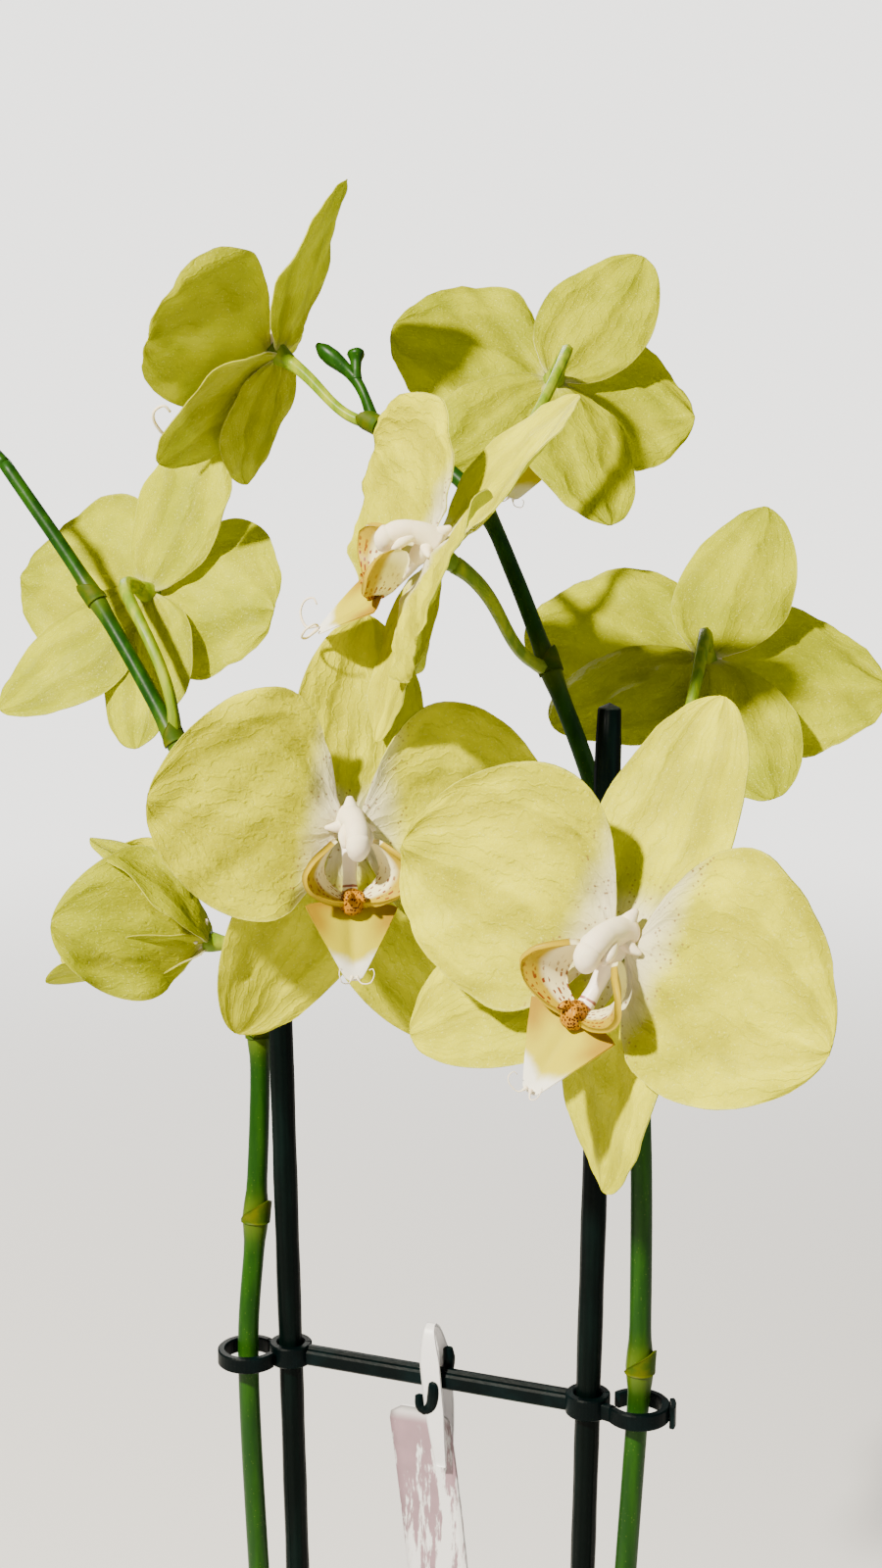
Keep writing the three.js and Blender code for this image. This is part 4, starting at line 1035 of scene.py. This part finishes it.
ROOTS = [
    [(-12, -3, 101), (-22, -7, 106), (-34, -14, 108), (-42, -20, 103), (-44, -23, 100.5)],
    [(12, 4, 101), (20, 9, 107), (32, 14, 109), (42, 16, 104), (45, 16, 100.5)],
    [(-8, 10, 101), (-14, 22, 105), (-22, 34, 105), (-27, 40, 100.5)],
]
for index, points in enumerate(ROOTS, 1):
    line, at = smooth_route(points, 40)
    radii = 2.5 + 0.18 * np.sin(at * 21 + index) - 1.6 * np.clip(at - 0.93, 0, 1) / 0.07
    new_object(f"aerial_root_{index}_body", *swept(line, radii, 16), ROOT, "root", [f"aerial_root_{index}"])


# ---- bark, growing pot and cover pot
dice = random.Random(7)
CHIP_COUNT = 170
CHIP_REACH = 50
CHIP_TILT = 22
LINER_LIP = 2.4
LINER_WALL = 1.2


def chip(centre, size, spin):
    """A broken piece of bark: a slab with rough ends and corners knocked about."""
    corners = []
    for x in (-1, -0.35, 0.35, 1):
        for y in (-1, 0, 1):
            for z in (-1, 1):
                edge = 0.82 if abs(x) == 1 and y else 1.0
                corners.append(((x * edge + dice.uniform(-0.12, 0.12)) * size[0],
                    (y * edge + dice.uniform(-0.16, 0.16)) * size[1],
                    (z + dice.uniform(-0.3, 0.3)) * size[2]))
    grid = np.array(corners).reshape(4, 3, 2, 3)
    points, faces = shell(grid[:, :, 1], grid[:, :, 0])
    return np.asarray(points) @ spin.T + np.asarray(centre), faces


bark_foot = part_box("bark_medium")[0][2] / MM + 0.3
bed = [(0, bark_foot)] + rounded([(40.5, bark_foot), (52.5, 91), (30, 92.5), (10.5, 92.5)], 2) + [(0, 91.5)]
new_object("bark_bed", *turned(bed, 64), BARK, "bark", ["bark_medium"])
chips = []
for _ in range(CHIP_COUNT):
    reach, around = CHIP_REACH * math.sqrt(dice.uniform(0.07, 1)), dice.uniform(0, 2 * math.pi)
    size = (dice.uniform(3.5, 7.5), dice.uniform(2.6, 5), dice.uniform(1.1, 2.1))
    reach = min(reach, CHIP_REACH - size[0] * 0.6)
    spin = turn_about("Z", dice.uniform(0, 360))
    for axis in "XY":
        spin = spin @ turn_about(axis, dice.uniform(-CHIP_TILT, CHIP_TILT))
    centre = (reach * math.cos(around), reach * math.sin(around), dice.uniform(91.5, 95))
    chips.append(chip(centre, size, np.array(spin.to_3x3())))
new_object("bark_chips", *merged(*chips), BARK, "bark", ["bark_medium"], smooth=False)

floor_z, rim_z = (corner[2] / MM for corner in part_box("nursery_pot"))
outer = rounded([(43, floor_z), (57, rim_z - LINER_LIP), (59.4, rim_z - LINER_LIP), (59.4, rim_z),
    (55.9, rim_z), (41.9, floor_z + LINER_WALL)], 0.7)
liner = [(0, floor_z)] + outer + [(0, floor_z + LINER_WALL)]
new_object("nursery_pot_shell", *turned(liner, 96), CLEAR, "clear_plastic", ["nursery_pot"])

pot_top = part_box("cover_pot")[1][2] / MM
pot = [(0, 1.6), (43, 1.6), (44.5, 0), (49, 0), (51, 3.2), (64.2, pot_top - 9), (64.2, pot_top - 8),
    (66, pot_top - 6.5), (66, pot_top), (62, pot_top), (61.8, pot_top - 7), (46.2, 4), (0, 4)]
new_object("cover_pot_body", *turned(rounded(pot, 1.6, 5), 128), GLAZE, "ceramic", ["cover_pot"])


# ---- floor, light and camera
floor_mesh = bpy.data.meshes.new("floor")
FLOOR_EDGE = 6.0
floor_mesh.from_pydata([(x * FLOOR_EDGE, y * FLOOR_EDGE, 0) for x, y in ((-1, -1), (1, -1), (1, 1), (-1, 1))],
    [], [(0, 1, 2, 3)])
floor_mesh.materials.append(FLOOR)
floor = bpy.data.objects.new("floor", floor_mesh)
floor.location = (0, 0, -0.0005)
bpy.context.scene.collection.objects.link(floor)

STUDIO_LIGHT = 0.27
WALL_BRIGHTNESS = 2.8  # as the camera sees the studio, which lights nothing

world = bpy.data.worlds.new("studio")
bpy.context.scene.world = world
world.use_nodes = True
tree = world.node_tree
chooser = tree.nodes.new("ShaderNodeMixShader")
tree.links.new(tree.nodes.new("ShaderNodeLightPath").outputs["Is Camera Ray"], chooser.inputs["Fac"])
for socket, color, strength in ((1, (0.93, 0.93, 0.9, 1), STUDIO_LIGHT),
        (2, (0.96, 0.94, 0.9, 1), WALL_BRIGHTNESS)):
    background = tree.nodes.new("ShaderNodeBackground")
    background.inputs["Color"].default_value = color
    background.inputs["Strength"].default_value = strength
    tree.links.new(background.outputs["Background"], chooser.inputs[socket])
tree.links.new(chooser.outputs["Shader"], tree.nodes["World Output"].inputs["Surface"])


def area_light(name, place, aim, size, power, color):
    lamp = bpy.data.lights.new(name, "AREA")
    lamp.shape = "DISK"
    lamp.size = size
    lamp.energy = power
    lamp.color = color
    holder = bpy.data.objects.new(name, lamp)
    holder.location = place
    holder.rotation_euler = (Vector(aim) - Vector(place)).to_track_quat("-Z", "Y").to_euler()
    bpy.context.scene.collection.objects.link(holder)


area_light("key", (-0.8, -0.82, 1.46), (0, 0, 0.46), 0.1, 92, (1, 0.95, 0.8))
area_light("fill", (1.2, -0.8, 0.7), (0, 0, 0.42), 1.2, 3, (0.96, 0.98, 1))
area_light("back", (-0.4, 1.3, 1.2), (0, 0, 0.48), 0.8, 18, (1, 0.97, 0.9))

SENSOR = 36
LENS = 47.25
EYE = (0.0014, -0.4734, 0.5492)
EYE_PITCH = 9.5  # degrees below level

camera = bpy.data.cameras.new("camera")
camera.sensor_width = SENSOR
camera.lens = LENS
camera.clip_start = 0.01
eye = bpy.data.objects.new("camera", camera)
eye.location = EYE
eye.rotation_euler = (math.radians(90 - EYE_PITCH), 0, 0)
bpy.context.scene.collection.objects.link(eye)
bpy.context.scene.camera = eye
